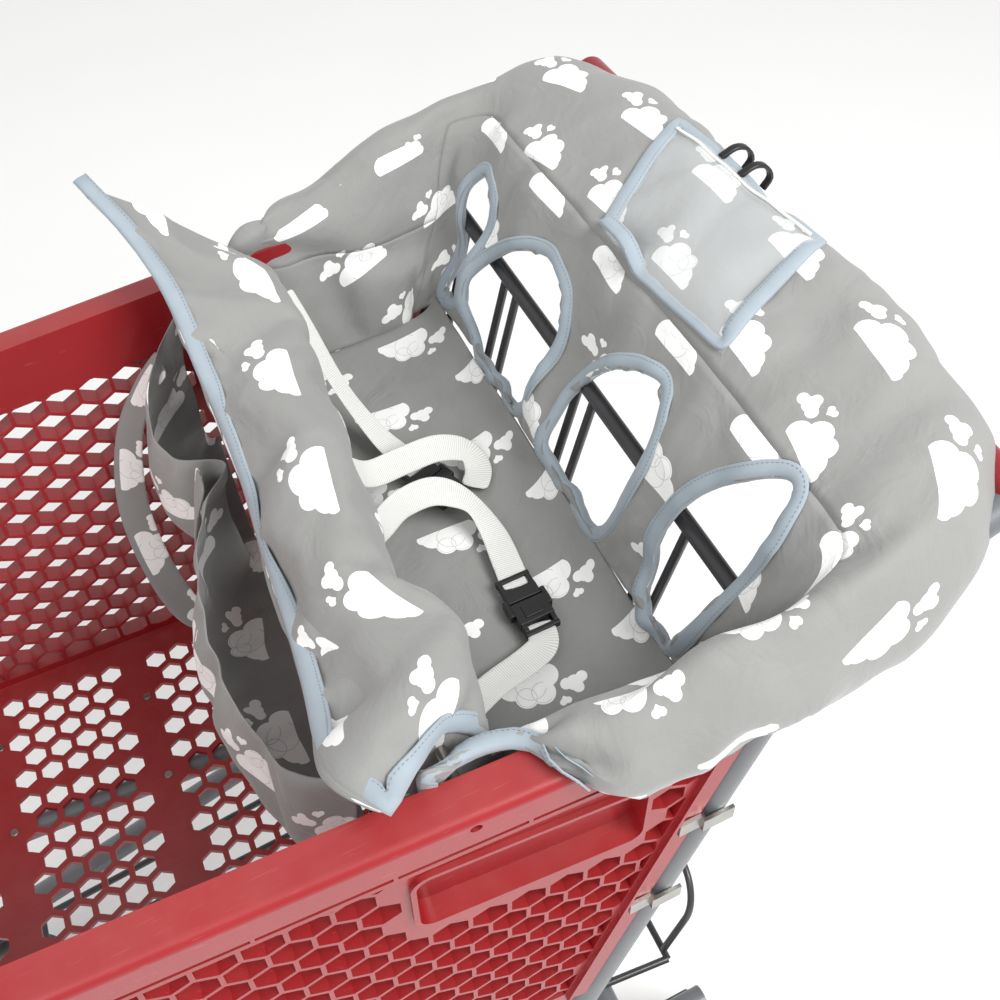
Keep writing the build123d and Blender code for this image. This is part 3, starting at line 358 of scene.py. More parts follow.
def unit(v):
    """Rows of v at length 1."""
    return v / np.maximum(np.linalg.norm(v, axis=-1, keepdims=True), 1e-9)


def bind(name, points, normals, thick, closed, inward=None, width=TAPE_WIDTH):
    """Tape folded over an edge, and the line its stitches follow. inward points into the cloth."""
    ahead, behind = np.roll(points, -1, 0), np.roll(points, 1, 0)
    if not closed:
        ahead[-1], behind[0] = points[-1], points[0]
    along = unit(ahead - behind)
    inside = unit(np.cross(normals, along))
    if inward is not None:
        sign = np.sign(np.sum(inside * inward, axis=1, keepdims=True))
        inside = inside * np.where(sign == 0, 1, sign)
    inside = unit(relax(inside, 3, closed))
    normals = unit(relax(normals, 3, closed))
    puckers = np.array([0.0005 * noise.noise(Vector(p) * 90) for p in points])[:, None]
    profile = (
        (width, TAPE_RISE - 0.0010), (width - 0.0008, TAPE_RISE), (width * 0.5, TAPE_RISE + 0.0004),
        (0.001, TAPE_RISE), (-0.0012, -thick * 0.5), (0.001, -thick - TAPE_RISE),
        (width * 0.5, -thick - TAPE_RISE - 0.0004), (width, -thick - TAPE_RISE),
    )
    rows = [points + inside * reach + normals * rise + puckers * normals for reach, rise in profile]
    count, deep = len(points), len(profile)
    grid = np.stack(rows, 1).reshape(-1, 3)
    spans = count if closed else count - 1
    faces = []
    for i in range(spans):
        j = (i + 1) % count
        for k in range(deep - 1):
            faces.append((i * deep + k, i * deep + k + 1, j * deep + k + 1, j * deep + k))
    made = new_object(name, grid, faces, [binding_tape])
    shell = made.modifiers.new("tape", "SOLIDIFY")
    shell.thickness = 0.0006
    shell.offset = 0
    seam = points + inside * (width - 0.0022) + normals * (TAPE_RISE + 0.0005) + puckers * normals
    return made, (seam, closed)


def join(name, objects):
    """Joins meshes into one new object of the given name and removes them."""
    bm = bmesh.new()
    dg = bpy.context.evaluated_depsgraph_get()
    materials = []
    for o in objects:
        shown = o.evaluated_get(dg)
        mesh = bpy.data.meshes.new_from_object(shown)
        for material in mesh.materials:
            if material not in materials:
                materials.append(material)
        index = [materials.index(m) for m in mesh.materials]
        first = len(bm.faces)
        bm.from_mesh(mesh)
        bm.faces.ensure_lookup_table()
        for face in bm.faces[first:]:
            face.material_index = index[face.material_index] if index else 0
            face.smooth = True
    mesh = bpy.data.meshes.new(name)
    bm.to_mesh(mesh)
    bm.free()
    for material in materials:
        mesh.materials.append(material)
    for o in objects:
        bpy.data.objects.remove(o)
    made = bpy.data.objects.new(name, mesh)
    bpy.context.scene.collection.objects.link(made)
    return made


# ---- hood over the handle, its side drapes and the leg panel ----
# One padded cloth shell runs from the seat's rear seam up through the leg openings, over the push
# handle and down behind it, and turns forward over both rims. Elastic in the hem gathers it.

CELL = 0.0085              # spacing of the cloth's mesh
WADDING = 0.006


def catmull(keys, params):
    """Points on smooth curves through keys (first axis) at the given parameters."""
    keys = np.asarray(keys, float)
    padded = np.concatenate([2 * keys[:1] - keys[1:2], keys, 2 * keys[-1:] - keys[-2:-1]])
    out = []
    for t in params:
        i = min(int(t), len(keys) - 2)
        u = t - i
        a, b, c, d = padded[i : i + 4]
        out.append(0.5 * (2 * b + (c - a) * u + (2 * a - 5 * b + 4 * c - d) * u * u + (3 * b - a - 3 * c + d) * u**3))
    return np.array(out)


def steps(keys, size):
    """Parameters along keys whose steps are about size long."""
    keys = np.asarray(keys, float)
    out = [0.0]
    for i in range(len(keys) - 1):
        gap = np.mean(np.linalg.norm(keys[i + 1] - keys[i], axis=-1))
        count = max(1, round(gap / size))
        out += [i + (k + 1) / count for k in range(count)]
    return out


def cloth_grid(keys, size=CELL, ref=None):
    """Fine grid of points and its UV in metres from key stations, each a row of points."""
    keys = np.asarray(keys, float)
    wide = catmull(keys, steps(keys, size))
    grid = np.moveaxis(catmull(np.moveaxis(wide, 1, 0), steps(np.moveaxis(keys, 1, 0), size)), 0, 1)
    ref = grid.shape[1] // 2 if ref is None else ref
    run = np.concatenate([[0], np.cumsum(np.linalg.norm(np.diff(grid[:, ref], axis=0), axis=1))])
    rise = np.concatenate([np.zeros((len(grid), 1)), np.cumsum(np.linalg.norm(np.diff(grid, axis=1), axis=2), axis=1)], 1)
    rise = rise - rise[:, ref : ref + 1]
    uv = np.stack([np.repeat(run[:, None], grid.shape[1], 1), rise], -1)
    return grid, uv


def grid_faces(n, m, flip=False, first=0):
    """Quads of an n by m grid of points."""
    faces = []
    for i in range(n - 1):
        for j in range(m - 1):
            a = first + i * m + j
            quad = (a, a + m, a + m + 1, a + 1)
            faces.append(quad[::-1] if flip else quad)
    return faces


def settle(obj, pinned, pressure, shrink, frames, cap, bend=6.0):
    """Lets cloth puff and wrinkle between its pinned seams, and caps how far each point moves."""
    start = np.array([v.co for v in obj.data.vertices])
    group = obj.vertex_groups.new(name="seams")
    for index in pinned:
        group.add([int(index)], 1.0, "REPLACE")
    cloth = obj.modifiers.new("cloth", "CLOTH")
    values = cloth.settings
    values.quality = 5
    values.mass = 0.25
    values.tension_stiffness = 30
    values.compression_stiffness = 30
    values.shear_stiffness = 12
    values.bending_stiffness = bend
    values.effector_weights.gravity = 0
    values.vertex_group_mass = "seams"
    values.use_pressure = True
    values.uniform_pressure_force = pressure
    values.shrink_min = shrink
    cloth.collision_settings.use_collision = False
    cloth.point_cache.frame_start = 1
    cloth.point_cache.frame_end = frames
    scene = bpy.context.scene
    for now in range(1, frames + 1):
        scene.frame_set(now)
    shown = obj.evaluated_get(bpy.context.evaluated_depsgraph_get())
    after = np.array([v.co for v in shown.data.vertices])
    obj.modifiers.remove(cloth)
    obj.vertex_groups.clear()
    scene.frame_set(1)
    moved = after - start
    reach = np.linalg.norm(moved, axis=1, keepdims=True)
    moved *= np.minimum(1, cap / np.maximum(reach, 1e-9))
    obj.data.vertices.foreach_set("co", (start + moved).astype(np.float32).ravel())
    obj.data.update()


def ripple(points, size, height, seed, squeeze=(1, 1, 1)):
    """Small folds: offsets along each point's normal from smooth noise."""
    scale = Vector(squeeze) / size
    shift = Vector((seed * 7.1, seed * 3.3, seed * 5.7))
    return np.array([height * noise.noise(Vector((p[0] * scale[0], p[1] * scale[1], p[2] * scale[2])) + shift) for p in points])


def drape_station(x, side, crest, hem_y, hem_z, inner=0.268):
    """Section of a side drape: up the inside of the well, over the rim and down to the hem."""
    over = min(hem_y, 0.318)
    return [
        (x, side * (inner - 0.024), 0.836), (x, side * (inner - 0.010), 0.882), (x, side * inner, 0.930),
        (x, side * (inner + 0.004), (0.93 + crest) / 2 + 0.006), (x, side * (inner + 0.012), crest - 0.010),
        (x, side * (inner + over) / 2, crest), (x, side * (over - 0.004), crest - 0.012),
        (x, side * (hem_y + 0.005), (crest + hem_z) / 2), (x, side * hem_y, hem_z),
    ]


def rim_station(x, side, inner=0.264):
    """Section where the cover ends at the rim's inner edge."""
    heights = (0.836, 0.870, 0.900, 0.925, 0.940, 0.950, 0.957, 0.962, 0.966)
    lean = (-0.024, -0.014, -0.006, -0.003, -0.001, 0.0, 0.001, 0.002, 0.004)
    return [(x, side * (inner + d), z) for z, d in zip(heights, lean)]


def corner_stations(side):
    """Sections that fan out from the well's corner round the end of the handle."""
    return [
        [(-0.258, 0.252, 0.846), (-0.277, 0.262, 0.892), (-0.292, 0.269, 0.940), (-0.304, 0.275, 0.990),
         (-0.318, 0.283, 1.028), (-0.330, 0.297, 1.046), (-0.338, 0.315, 1.036), (-0.346, 0.329, 0.992),
         (-0.345, 0.323, 0.945)],
        [(-0.274, 0.243, 0.860), (-0.290, 0.252, 0.898), (-0.306, 0.258, 0.948), (-0.322, 0.263, 1.000),
         (-0.348, 0.272, 1.040), (-0.382, 0.286, 1.065), (-0.412, 0.301, 1.062), (-0.432, 0.313, 1.020),
         (-0.424, 0.306, 0.978)],
        [(-0.280, 0.228, 0.866), (-0.294, 0.235, 0.900), (-0.310, 0.239, 0.950), (-0.327, 0.242, 1.002),
         (-0.352, 0.246, 1.043), (-0.402, 0.254, 1.068), (-0.448, 0.262, 1.075), (-0.478, 0.270, 1.040),
         (-0.468, 0.264, 0.996)],
    ] if side > 0 else [[(x, -y, z) for x, y, z in s] for s in corner_stations(1)]


def rear_station(y, seam_x, seam_z):
    """Section over the handle: from the seat's rear seam up the leg panel and down behind."""
    return [
        (seam_x, y, seam_z), (-0.295, y, 0.902), (-0.309, y, 0.950), (-0.325, y, 1.003), (-0.350, y, 1.044),
        (-0.412, y, 1.068), (-0.468, y, 1.080), (-0.506, y, 1.050), (-0.497, y, 1.000),
    ]


def flatten(obj, chosen, target):
    """Unwraps the chosen faces with little stretch, at true size, turned to match a target UV."""
    bpy.context.view_layer.objects.active = obj
    obj.select_set(True)
    bpy.context.tool_settings.mesh_select_mode = (False, False, True)
    obj.data.polygons.foreach_set("select", chosen)
    bpy.ops.object.mode_set(mode="EDIT")
    bpy.ops.uv.unwrap(method="MINIMUM_STRETCH", margin=0.0)
    bpy.ops.object.mode_set(mode="OBJECT")
    obj.select_set(False)
    layer = obj.data.uv_layers["cloth"].data
    made = np.zeros(len(layer) * 2, np.float32)
    layer.foreach_get("uv", made)
    made = made.reshape(-1, 2).astype(float)
    picked = np.repeat(chosen, 4)
    quads = made[picked].reshape(-1, 4, 2)
    sides = np.roll(quads, -1, 1)
    flat_area = np.abs(np.sum(quads[..., 0] * sides[..., 1] - quads[..., 1] * sides[..., 0])) / 2
    true_area = sum(p.area for p, c in zip(obj.data.polygons, chosen) if c)
    a, b = made[picked], target[picked]
    a, b = (a - a.mean(0)) * math.sqrt(true_area / flat_area), b
    u, _, v = np.linalg.svd(a.T @ (b - b.mean(0)))
    made[picked] = a @ u @ v + b.mean(0)
    made[~picked] = target[~picked]
    layer.foreach_set("uv", made.astype(np.float32).ravel())


right_side = [rim_station(-0.088, -1), drape_station(-0.116, -1, 0.972, 0.290, 0.962),
              drape_station(-0.150, -1, 0.978, 0.316, 0.932), drape_station(-0.185, -1, 0.992, 0.320, 0.915),
              drape_station(-0.220, -1, 1.010, 0.323, 0.905), drape_station(-0.252, -1, 1.024, 0.325, 0.905)]
left_side = [rim_station(-0.066, 1, 0.262), rim_station(-0.118, 1, 0.264), drape_station(-0.146, 1, 0.974, 0.296, 0.962),
             drape_station(-0.172, 1, 0.984, 0.318, 0.938), drape_station(-0.198, 1, 0.994, 0.322, 0.926),
             drape_station(-0.226, 1, 1.008, 0.324, 0.930), drape_station(-0.254, 1, 1.022, 0.325, 0.938)]
right_corner = corner_stations(-1)
left_corner = corner_stations(1)
rear = [rear_station(y, sx, sz) for y, sx, sz in (
    (-0.190, -0.284, 0.867), (-0.110, -0.283, 0.866), (-0.035, -0.282, 0.867), (0.040, -0.281, 0.868),
    (0.115, -0.280, 0.870), (0.190, -0.280, 0.872))]
stations = right_side + right_corner + rear + left_corner[::-1] + left_side[::-1]
hood_grid, hood_uv = cloth_grid(stations)
wide, deep = hood_grid.shape[:2]
rows = np.tile(np.arange(deep), wide)
columns = np.repeat(np.arange(wide), deep)
key_rows = steps(np.moveaxis(np.array(stations), 1, 0), CELL)
row_of = {k: int(np.argmin(np.abs(np.array(key_rows) - k))) for k in range(9)}
shell = new_object("hood_shell", hood_grid.reshape(-1, 3), grid_faces(wide, deep), [cover_cloth], hood_uv.reshape(-1, 2))
crown = hood_grid[:, row_of[4]]
away = unit(hood_grid[:, row_of[6], :2] - crown[:, :2])
climb = hood_uv[..., 1] - hood_uv[:, row_of[4], 1][:, None]
wall_uv = np.stack([hood_uv[..., 0] - hood_uv[wide // 2, 0, 0], climb + 0.350], -1)
top_flat = crown[:, None, :2] + away[:, None] * climb[..., None]
top_uv = np.stack([top_flat[..., 1], -top_flat[..., 0]], -1)
corner_of = np.zeros(len(shell.data.loops), np.int32)
shell.data.loops.foreach_get("vertex_index", corner_of)
on_wall = np.array([q % (deep - 1) < row_of[4] for q in range(len(shell.data.polygons))])
both = np.where(np.repeat(on_wall, 4)[:, None], wall_uv.reshape(-1, 2)[corner_of], top_uv.reshape(-1, 2)[corner_of])
shell.data.uv_layers["cloth"].data.foreach_set("uv", both.astype(np.float32).ravel())
flatten(shell, ~on_wall, both)
held = (rows == 0) | (rows == deep - 1) | (columns == 0) | (columns == wide - 1)
settle(shell, np.nonzero(held)[0], 2.0, -0.07, 18, 0.010)
co = np.array([v.co for v in shell.data.vertices])
normal = np.array([v.normal for v in shell.data.vertices])
fade = np.minimum(1, rows / 4.0) * np.minimum(1, np.minimum(columns, wide - 1 - columns) / 4.0)
folds = ripple(co, 0.055, 0.007, 3, (1, 1.6, 0.7)) + ripple(co, 0.024, 0.0026, 5, (0.8, 1.8, 0.8))
run = np.repeat(hood_uv[:, 0, 0], deep)
low = np.clip((rows - row_of[6]) / (deep - 1 - row_of[6]), 0, 1)
folds += low * np.array([0.007 * noise.noise((r * 42, 0, 4.2)) + 0.003 * noise.noise((r * 95, 0, 9.1)) for r in run])
co = co + normal * (folds * fade)[:, None]
shell.data.vertices.foreach_set("co", co.astype(np.float32).ravel())
shell.data.update()

# ---- leg openings in the panel ----
# Four arched holes, each standing on the seat's rear seam, through which children put their legs.
# Their edges are bound with the same tape as the hem.

LEG_OPENINGS = (           # bottom left and right, middle left and right, top: each (y, z)
    ((-0.238, 0.888), (-0.218, 0.886), (-0.247, 0.945), (-0.200, 0.952), (-0.229, 1.008)),
    ((-0.164, 0.880), (-0.062, 0.880), (-0.186, 0.932), (-0.044, 0.952), (-0.094, 1.010)),
    ((0.006, 0.881), (0.092, 0.881), (-0.006, 0.940), (0.112, 0.964), (0.074, 1.016)),
    ((0.160, 0.884), (0.214, 0.884), (0.156, 0.940), (0.232, 0.982), (0.216, 1.040)),
)


def opening_outline(points, count=96):
    """Closed smooth outline through an opening's five points, in (y, z)."""
    low_left, low_right, left, right, top = [np.array(p) for p in points]
    keys = np.array([
        low_left, (low_left + low_right) / 2 - (0, 0.004), low_right, right,
        right * 0.45 + top * 0.55 + (0.012, 0.008), top, left * 0.45 + top * 0.55 + (-0.012, 0.008), left,
    ])
    ring = np.concatenate([keys[-2:], keys, keys[:3]])
    t = np.linspace(2, 2 + len(keys), count, endpoint=False)
    return catmull(ring, t)


def inside(outline, point):
    """Whether a point lies in a closed outline."""
    y, z = point
    a, b = outline, np.roll(outline, -1, 0)
    crosses = (a[:, 1] > z) != (b[:, 1] > z)
    at = a[:, 0] + (z - a[:, 1]) / np.where(crosses, b[:, 1] - a[:, 1], 1) * (b[:, 0] - a[:, 0])
    return np.count_nonzero(crosses & (y < at)) % 2 == 1


panel_limit = row_of[4]
outlines = [opening_outline(points) for points in LEG_OPENINGS]
leg_pieces, leg_seams = [], []
uncut = BVHTree.FromPolygons([v.co for v in shell.data.vertices], [p.vertices for p in shell.data.polygons])
for index, outline in enumerate(outlines):
    hits = [uncut.ray_cast(Vector((-0.20, y, z)), Vector((-1, 0, 0))) for y, z in outline]
    line = relax(np.array([h[0] for h in hits]), 2, True)
    facing_out = np.array([h[1] if h[1].x > 0 else -h[1] for h in hits])
    made, seam = bind(f"leg_tape_{index}", line, facing_out, WADDING, True, inward=line - line.mean(0))
    leg_pieces.append(made)
    leg_seams.append(seam)
bm = bmesh.new()
bm.from_mesh(shell.data)
bm.verts.ensure_lookup_table()
tag = bm.faces.layers.int.new("row")
tag_column = bm.faces.layers.int.new("column")
bm.faces.ensure_lookup_table()
for face, quad in zip(bm.faces, range(len(bm.faces))):
    face[tag] = quad % (deep - 1)
    face[tag_column] = quad // (deep - 1)
front_faces = [f for f in bm.faces if f[tag] < panel_limit + 3 and f.calc_center_median().x < -0.262]
cut = [f for f in front_faces if any(inside(o, (f.calc_center_median().y, f.calc_center_median().z)) for o in outlines)]
bmesh.ops.delete(bm, geom=cut, context="FACES")
for outline in outlines:
    close = [v for v in bm.verts if v.is_boundary and v.co.x < -0.262 and v.co.z < 1.06
             and np.min(np.hypot(outline[:, 0] - v.co.y, outline[:, 1] - v.co.z)) < 0.012]
    for v in close:
        near = outline[np.argmin(np.hypot(outline[:, 0] - v.co.y, outline[:, 1] - v.co.z))]
        v.co.y, v.co.z = near[0], near[1]
bm.to_mesh(shell.data)
bm.free()
shell.data.update()

hem_pieces, hem_seams = [], []
spread, turned = co.reshape(wide, deep, 3), normal.reshape(wide, deep, 3)
for end, step in ((0, 1), (wide - 1, -1)):
    taped = [end + step * k for k in range(wide // 2) if spread[end + step * k, -1, 0] > -0.165]
    lines = [np.concatenate([a[end, row_of[2]:], a[taped[1:], -1]]) for a in (spread, turned)]
    within = np.concatenate([spread[end + 3 * step, row_of[2]:], spread[taped[1:], -4]]) - lines[0]
    made, seam = bind(f"hem_tape_{end}", relax(lines[0], 3, False), lines[1], WADDING, False, inward=within)
    hem_pieces.append(made)
    hem_seams.append(seam)



def part_of(obj, name, keep):
    """Copy of a mesh with only the faces that keep(row, column) accepts."""
    made = bpy.data.objects.new(name, obj.data.copy())
    bpy.context.scene.collection.objects.link(made)
    bm = bmesh.new()
    bm.from_mesh(made.data)
    r, c = bm.faces.layers.int["row"], bm.faces.layers.int["column"]
    bmesh.ops.delete(bm, geom=[f for f in bm.faces if not keep(f[r], f[c])], context="FACES")
    bm.to_mesh(made.data)
    bm.free()
    return made


def thicken(obj, thick, levels=1):
    """Gives cloth its thickness, away from the printed face, and smooths it."""
    wall = obj.modifiers.new("wadding", "SOLIDIFY")
    wall.thickness = thick
    wall.offset = -1
    wall.edge_crease_inner = wall.edge_crease_outer = 1.0
    smooth = obj.modifiers.new("soft", "SUBSURF")
    smooth.levels = smooth.render_levels = levels


key_columns = steps(np.array(stations), CELL)
column_of = [int(np.argmin(np.abs(np.array(key_columns) - k))) for k in range(len(stations))]
panel_from, panel_to = column_of[len(right_side)], column_of[len(stations) - len(left_side) - 1]
side_row = row_of[2]
is_panel = lambda r, c: r < panel_limit and panel_from <= c < panel_to
is_side = lambda r, c: r < side_row and not panel_from <= c < panel_to
hood = part_of(shell, "cover_hood", lambda r, c: not is_panel(r, c) and not is_side(r, c))
leg_panel = part_of(shell, "cover_leg_cloth", is_panel)
side_right = part_of(shell, "cover_side_cloth_right", lambda r, c: is_side(r, c) and c < panel_from)
side_left = part_of(shell, "cover_side_cloth_left", lambda r, c: is_side(r, c) and c >= panel_to)
bpy.data.objects.remove(shell)
for piece in (hood, leg_panel, side_right, side_left):
    thicken(piece, WADDING)
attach(hood, "cart")
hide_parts("cover_bolster", "cover_wing_left", "cover_wing_right")
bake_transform(leg_panel)
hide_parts("cover_leg_panel")
for piece, node in ((side_right, "cover_side_right"), (side_left, "cover_side_left")):
    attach(piece, "cart")
    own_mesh(piece)
    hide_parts(node)
hem_tape = join("hem_tape", hem_pieces)
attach(hem_tape, "cart")
hem_thread = sew("hem_stitches", hem_seams)
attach(hem_thread, "cart")
leg_tape = join("leg_opening_tape", leg_pieces)
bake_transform(leg_tape)
leg_thread = sew("leg_opening_stitches", leg_seams)
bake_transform(leg_thread)

# ---- seat pad ----
# A padded cushion of the same printed cloth on the folding seat flap, sewn to the leg panel behind.

seat_low, seat_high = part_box("cover_seat_pad")
SEAT_TOP = 0.836
top_rows = []
for x, z in ((-0.284, 0.872), (-0.268, 0.853), (-0.238, 0.841), (-0.200, SEAT_TOP), (-0.160, SEAT_TOP), (-0.128, SEAT_TOP - 0.002), (-0.106, SEAT_TOP - 0.006)):
    top_rows.append([(x, y, z + (0.004 if abs(y) > 0.23 else 0.0)) for y in (-0.248, -0.20, -0.12, -0.04, 0.04, 0.12, 0.20, 0.248)])
seat_grid, seat_uv = cloth_grid(top_rows, 0.009)
n, m = seat_grid.shape[:2]
base_grid = seat_grid.copy()
base_grid[..., 2] = seat_low.z + 0.004
base_grid[..., 0] = np.clip(base_grid[..., 0], -0.254, -0.112)
base_grid[..., 1] = np.clip(base_grid[..., 1], -0.236, 0.236)
points = np.concatenate([seat_grid.reshape(-1, 3), base_grid.reshape(-1, 3)])
faces = grid_faces(n, m, first=0) + grid_faces(n, m, True, n * m)
rim = [i * m for i in range(n)] + [(n - 1) * m + j for j in range(1, m)] + [i * m + m - 1 for i in range(n - 2, -1, -1)] + list(range(m - 2, 0, -1))
for a, b in zip(rim, rim[1:] + rim[:1]):
    faces.append((a, b, b + n * m, a + n * m))
seat_cushion = new_object("seat_cushion", points, faces, [cover_cloth], np.concatenate([seat_uv.reshape(-1, 2)] * 2) + (0.05, 0.02))
bm = bmesh.new()
bm.from_mesh(seat_cushion.data)
bmesh.ops.recalc_face_normals(bm, faces=bm.faces)
bm.to_mesh(seat_cushion.data)
bm.free()
settle(seat_cushion, rim + [i + n * m for i in range(n * m)], 3.0, -0.05, 16, 0.006)
co = np.array([v.co for v in seat_cushion.data.vertices])
co[: n * m, 2] += ripple(co[: n * m], 0.07, 0.005, 8, (1, 1, 1)) + ripple(co[: n * m], 0.028, 0.0018, 9, (1.4, 0.8, 1))
seat_cushion.data.vertices.foreach_set("co", co.astype(np.float32).ravel())
smooth = seat_cushion.modifiers.new("soft", "SUBSURF")
smooth.levels = smooth.render_levels = 1
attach(seat_cushion, "seat")
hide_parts("cover_seat_pad")

# ---- back pad ----
# A padded slip cover over the wire seat back. It stands up past its rod at the right and flops
# over it towards the basket in the middle; its free top edge is bound with tape.

BACK_STATIONS = (          # y of the foot, then ridge (x, y, z), swell (x, y, z) and bound edge (x, y, z)
    (-0.236, (-0.112, -0.261, 0.965), (-0.055, -0.279, 1.020), (0.011, -0.290, 1.070)),
    (-0.190, (-0.116, -0.205, 0.968), (-0.070, -0.212, 1.002), (-0.024, -0.228, 1.015)),
    (-0.140, (-0.113, -0.150, 0.967), (-0.070, -0.150, 0.986), (-0.031, -0.160, 0.979)),
    (-0.085, (-0.107, -0.090, 0.966), (-0.067, -0.090, 0.974), (-0.034, -0.100, 0.951)),
    (-0.020, (-0.105, -0.020, 0.966), (-0.066, -0.020, 0.966), (-0.035, -0.028, 0.925)),
    (0.045, (-0.097, 0.050, 0.966), (-0.060, 0.050, 0.960), (-0.030, 0.050, 0.912)),
    (0.110, (-0.099, 0.115, 0.966), (-0.060, 0.115, 0.962), (-0.027, 0.118, 0.920)),
    (0.165, (-0.118, 0.172, 0.966), (-0.068, 0.180, 0.976), (-0.020, 0.186, 0.942)),
    (0.210, (-0.110, 0.222, 0.967), (-0.064, 0.238, 0.986), (-0.013, 0.250, 0.974)),
    (0.236, (-0.092, 0.248, 0.964), (-0.066, 0.270, 0.976), (-0.040, 0.290, 0.984)),
)
seat_side, basket_side = [], []
for foot, ridge, swell, edge in BACK_STATIONS:
    seat_side.append([(-0.104, foot, 0.834), (-0.113, foot + (ridge[1] - foot) * 0.3, 0.885),
                      (-0.118, foot + (ridge[1] - foot) * 0.7, 0.930), ridge, swell, edge])
    edge_in = (edge[0] + 0.002, edge[1], edge[2] - 0.004)
    hang = max(0.935, min(edge[2] - 0.03, 0.965))
    basket_side.append([(-0.052, foot, 0.834), (-0.058, foot, 0.880), (-0.062, (foot + ridge[1]) / 2, 0.915),
                        (-0.066, ridge[1], 0.940), (swell[0] + 0.012, swell[1], swell[2] - 0.016), edge_in])
front_grid, front_uv = cloth_grid(seat_side, 0.009, 0)
back_grid, back_uv = cloth_grid(basket_side, 0.009, 0)
back_params = steps(np.moveaxis(np.array(seat_side), 1, 0), 0.009)
wide_keys = catmull(np.array(basket_side), steps(np.array(seat_side), 0.009))
back_grid = np.moveaxis(catmull(np.moveaxis(wide_keys, 1, 0), back_params), 0, 1)
n, m = front_grid.shape[:2]
back_grid[:, -1] = front_grid[:, -1] + (0.003, 0, -0.003)
points = np.concatenate([front_grid.reshape(-1, 3), back_grid.reshape(-1, 3)])
faces = grid_faces(n, m, True) + grid_faces(n, m, False, n * m)
rim = [i * m for i in range(n)] + [(n - 1) * m + j for j in range(1, m)] + [i * m + m - 1 for i in range(n - 2, -1, -1)] + list(range(m - 2, 0, -1))
for a, b in zip(rim, rim[1:] + rim[:1]):
    faces.append((b, a, a + n * m, b + n * m))
uv = np.concatenate([front_uv.reshape(-1, 2), front_uv.reshape(-1, 2) + (0.03, 0.05)])
back_pad = new_object("back_pad", points, faces, [cover_cloth], uv + (0.01, 0.03))
bm = bmesh.new()
bm.from_mesh(back_pad.data)
bmesh.ops.recalc_face_normals(bm, faces=bm.faces)
bm.to_mesh(back_pad.data)
bm.free()
pins = rim + [i + n * m for i in rim]
settle(back_pad, pins, 3.0, -0.08, 16, 0.012)
co = np.array([v.co for v in back_pad.data.vertices])
normal = np.array([v.normal for v in back_pad.data.vertices])
inner = np.ones((n, m))
inner[:, -3:] = 0.2
inner[:, :2] = 0.2
folds = (ripple(co, 0.06, 0.007, 12, (1, 1.4, 0.8)) + ripple(co, 0.026, 0.0022, 13, (1, 1.5, 0.7))) * np.tile(inner.ravel(), 2)
co = co + normal * folds[:, None]
back_pad.data.vertices.foreach_set("co", co.astype(np.float32).ravel())
back_pad.data.update()
top_edge = relax(co[: n * m].reshape(n, m, 3)[:, -1], 10, False)
near_edge = co[: n * m].reshape(n, m, 3)[-1][::-1]
tape_line = np.concatenate([top_edge, near_edge[2:-1]])
below = np.concatenate([co[: n * m].reshape(n, m, 3)[:, -3], co[: n * m].reshape(n, m, 3)[-3][::-1][2:-1]])
inward = below - tape_line
normals = unit(np.cross(inward, np.gradient(tape_line, axis=0)))
if np.mean(normals[:, 2]) < 0:
    normals = -normals
back_tape, seam = bind("back_pad_tape", tape_line, normals, 0.004, False, inward=inward, width=0.013)
smooth = back_pad.modifiers.new("soft", "SUBSURF")
smooth.levels = smooth.render_levels = 1
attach(back_pad, "seat_back")
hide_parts("cover_back_pad")
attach(back_tape, "seat_back")
back_thread = sew("back_pad_stitches", [seam])
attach(back_thread, "seat_back")

# ---- storage pouch and carry loop ----
# Two gathered pockets of single cloth hang on the basket side of the seat back, with elastic in
# their top hems, and a wide cloth loop for carrying the folded cover is sewn above them.

POUCH_STATIONS = (         # y, x of the bulge, height of the top hem, height of the bottom
    (-0.240, -0.040, 0.950, 0.780), (-0.215, 0.000, 0.910, 0.758), (-0.180, 0.014, 0.878, 0.746),
    (-0.140, 0.004, 0.872, 0.746), (-0.108, -0.034, 0.880, 0.752), (-0.075, -0.004, 0.872, 0.744),
    (-0.010, 0.020, 0.850, 0.740), (0.065, 0.024, 0.842, 0.740), (0.130, 0.014, 0.852, 0.742),
    (0.185, -0.002, 0.878, 0.750), (0.222, -0.040, 0.905, 0.770),
)
pouch_keys = []
for y, x, top, low in POUCH_STATIONS:
    tall = top - low
    pouch_keys.append([(-0.044, y, low), (x * 0.6 - 0.010, y, low + 0.004), (x + 0.006, y, low + tall * 0.3),
                       (x + 0.008, y, low + tall * 0.62), (x, y, top)])
pouch_grid, pouch_uv = cloth_grid(pouch_keys, 0.008)
n, m = pouch_grid.shape[:2]
pouch = new_object("storage_pouch", pouch_grid.reshape(-1, 3), grid_faces(n, m), [cover_cloth], pouch_uv.reshape(-1, 2) + (0.02, 0.01))
pinned = [i * m for i in range(n)] + [i * m + m - 1 for i in range(n)] + list(range(m)) + [(n - 1) * m + j for j in range(m)]
settle(pouch, pinned, 1.0, -0.06, 14, 0.008)
co = np.array([v.co for v in pouch.data.vertices])
co[:, 0] += ripple(co, 0.03, 0.004, 21, (0.6, 1.6, 0.5)) * np.tile(np.minimum(1, np.arange(m) / 4), n)
pouch.data.vertices.foreach_set("co", co.astype(np.float32).ravel())
pouch.data.update()
pouch_edge = relax(co.reshape(n, m, 3)[:, -1], 2, False)
wall = pouch.modifiers.new("cloth", "SOLIDIFY")
wall.thickness = 0.0016
wall.offset = 0
smooth = pouch.modifiers.new("soft", "SUBSURF")
smooth.levels = smooth.render_levels = 1
flat_width = float(pouch_uv[-1, 0, 0] - pouch_uv[0, 0, 0])
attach(pouch, "seat_back")
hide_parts("cover_pouch")


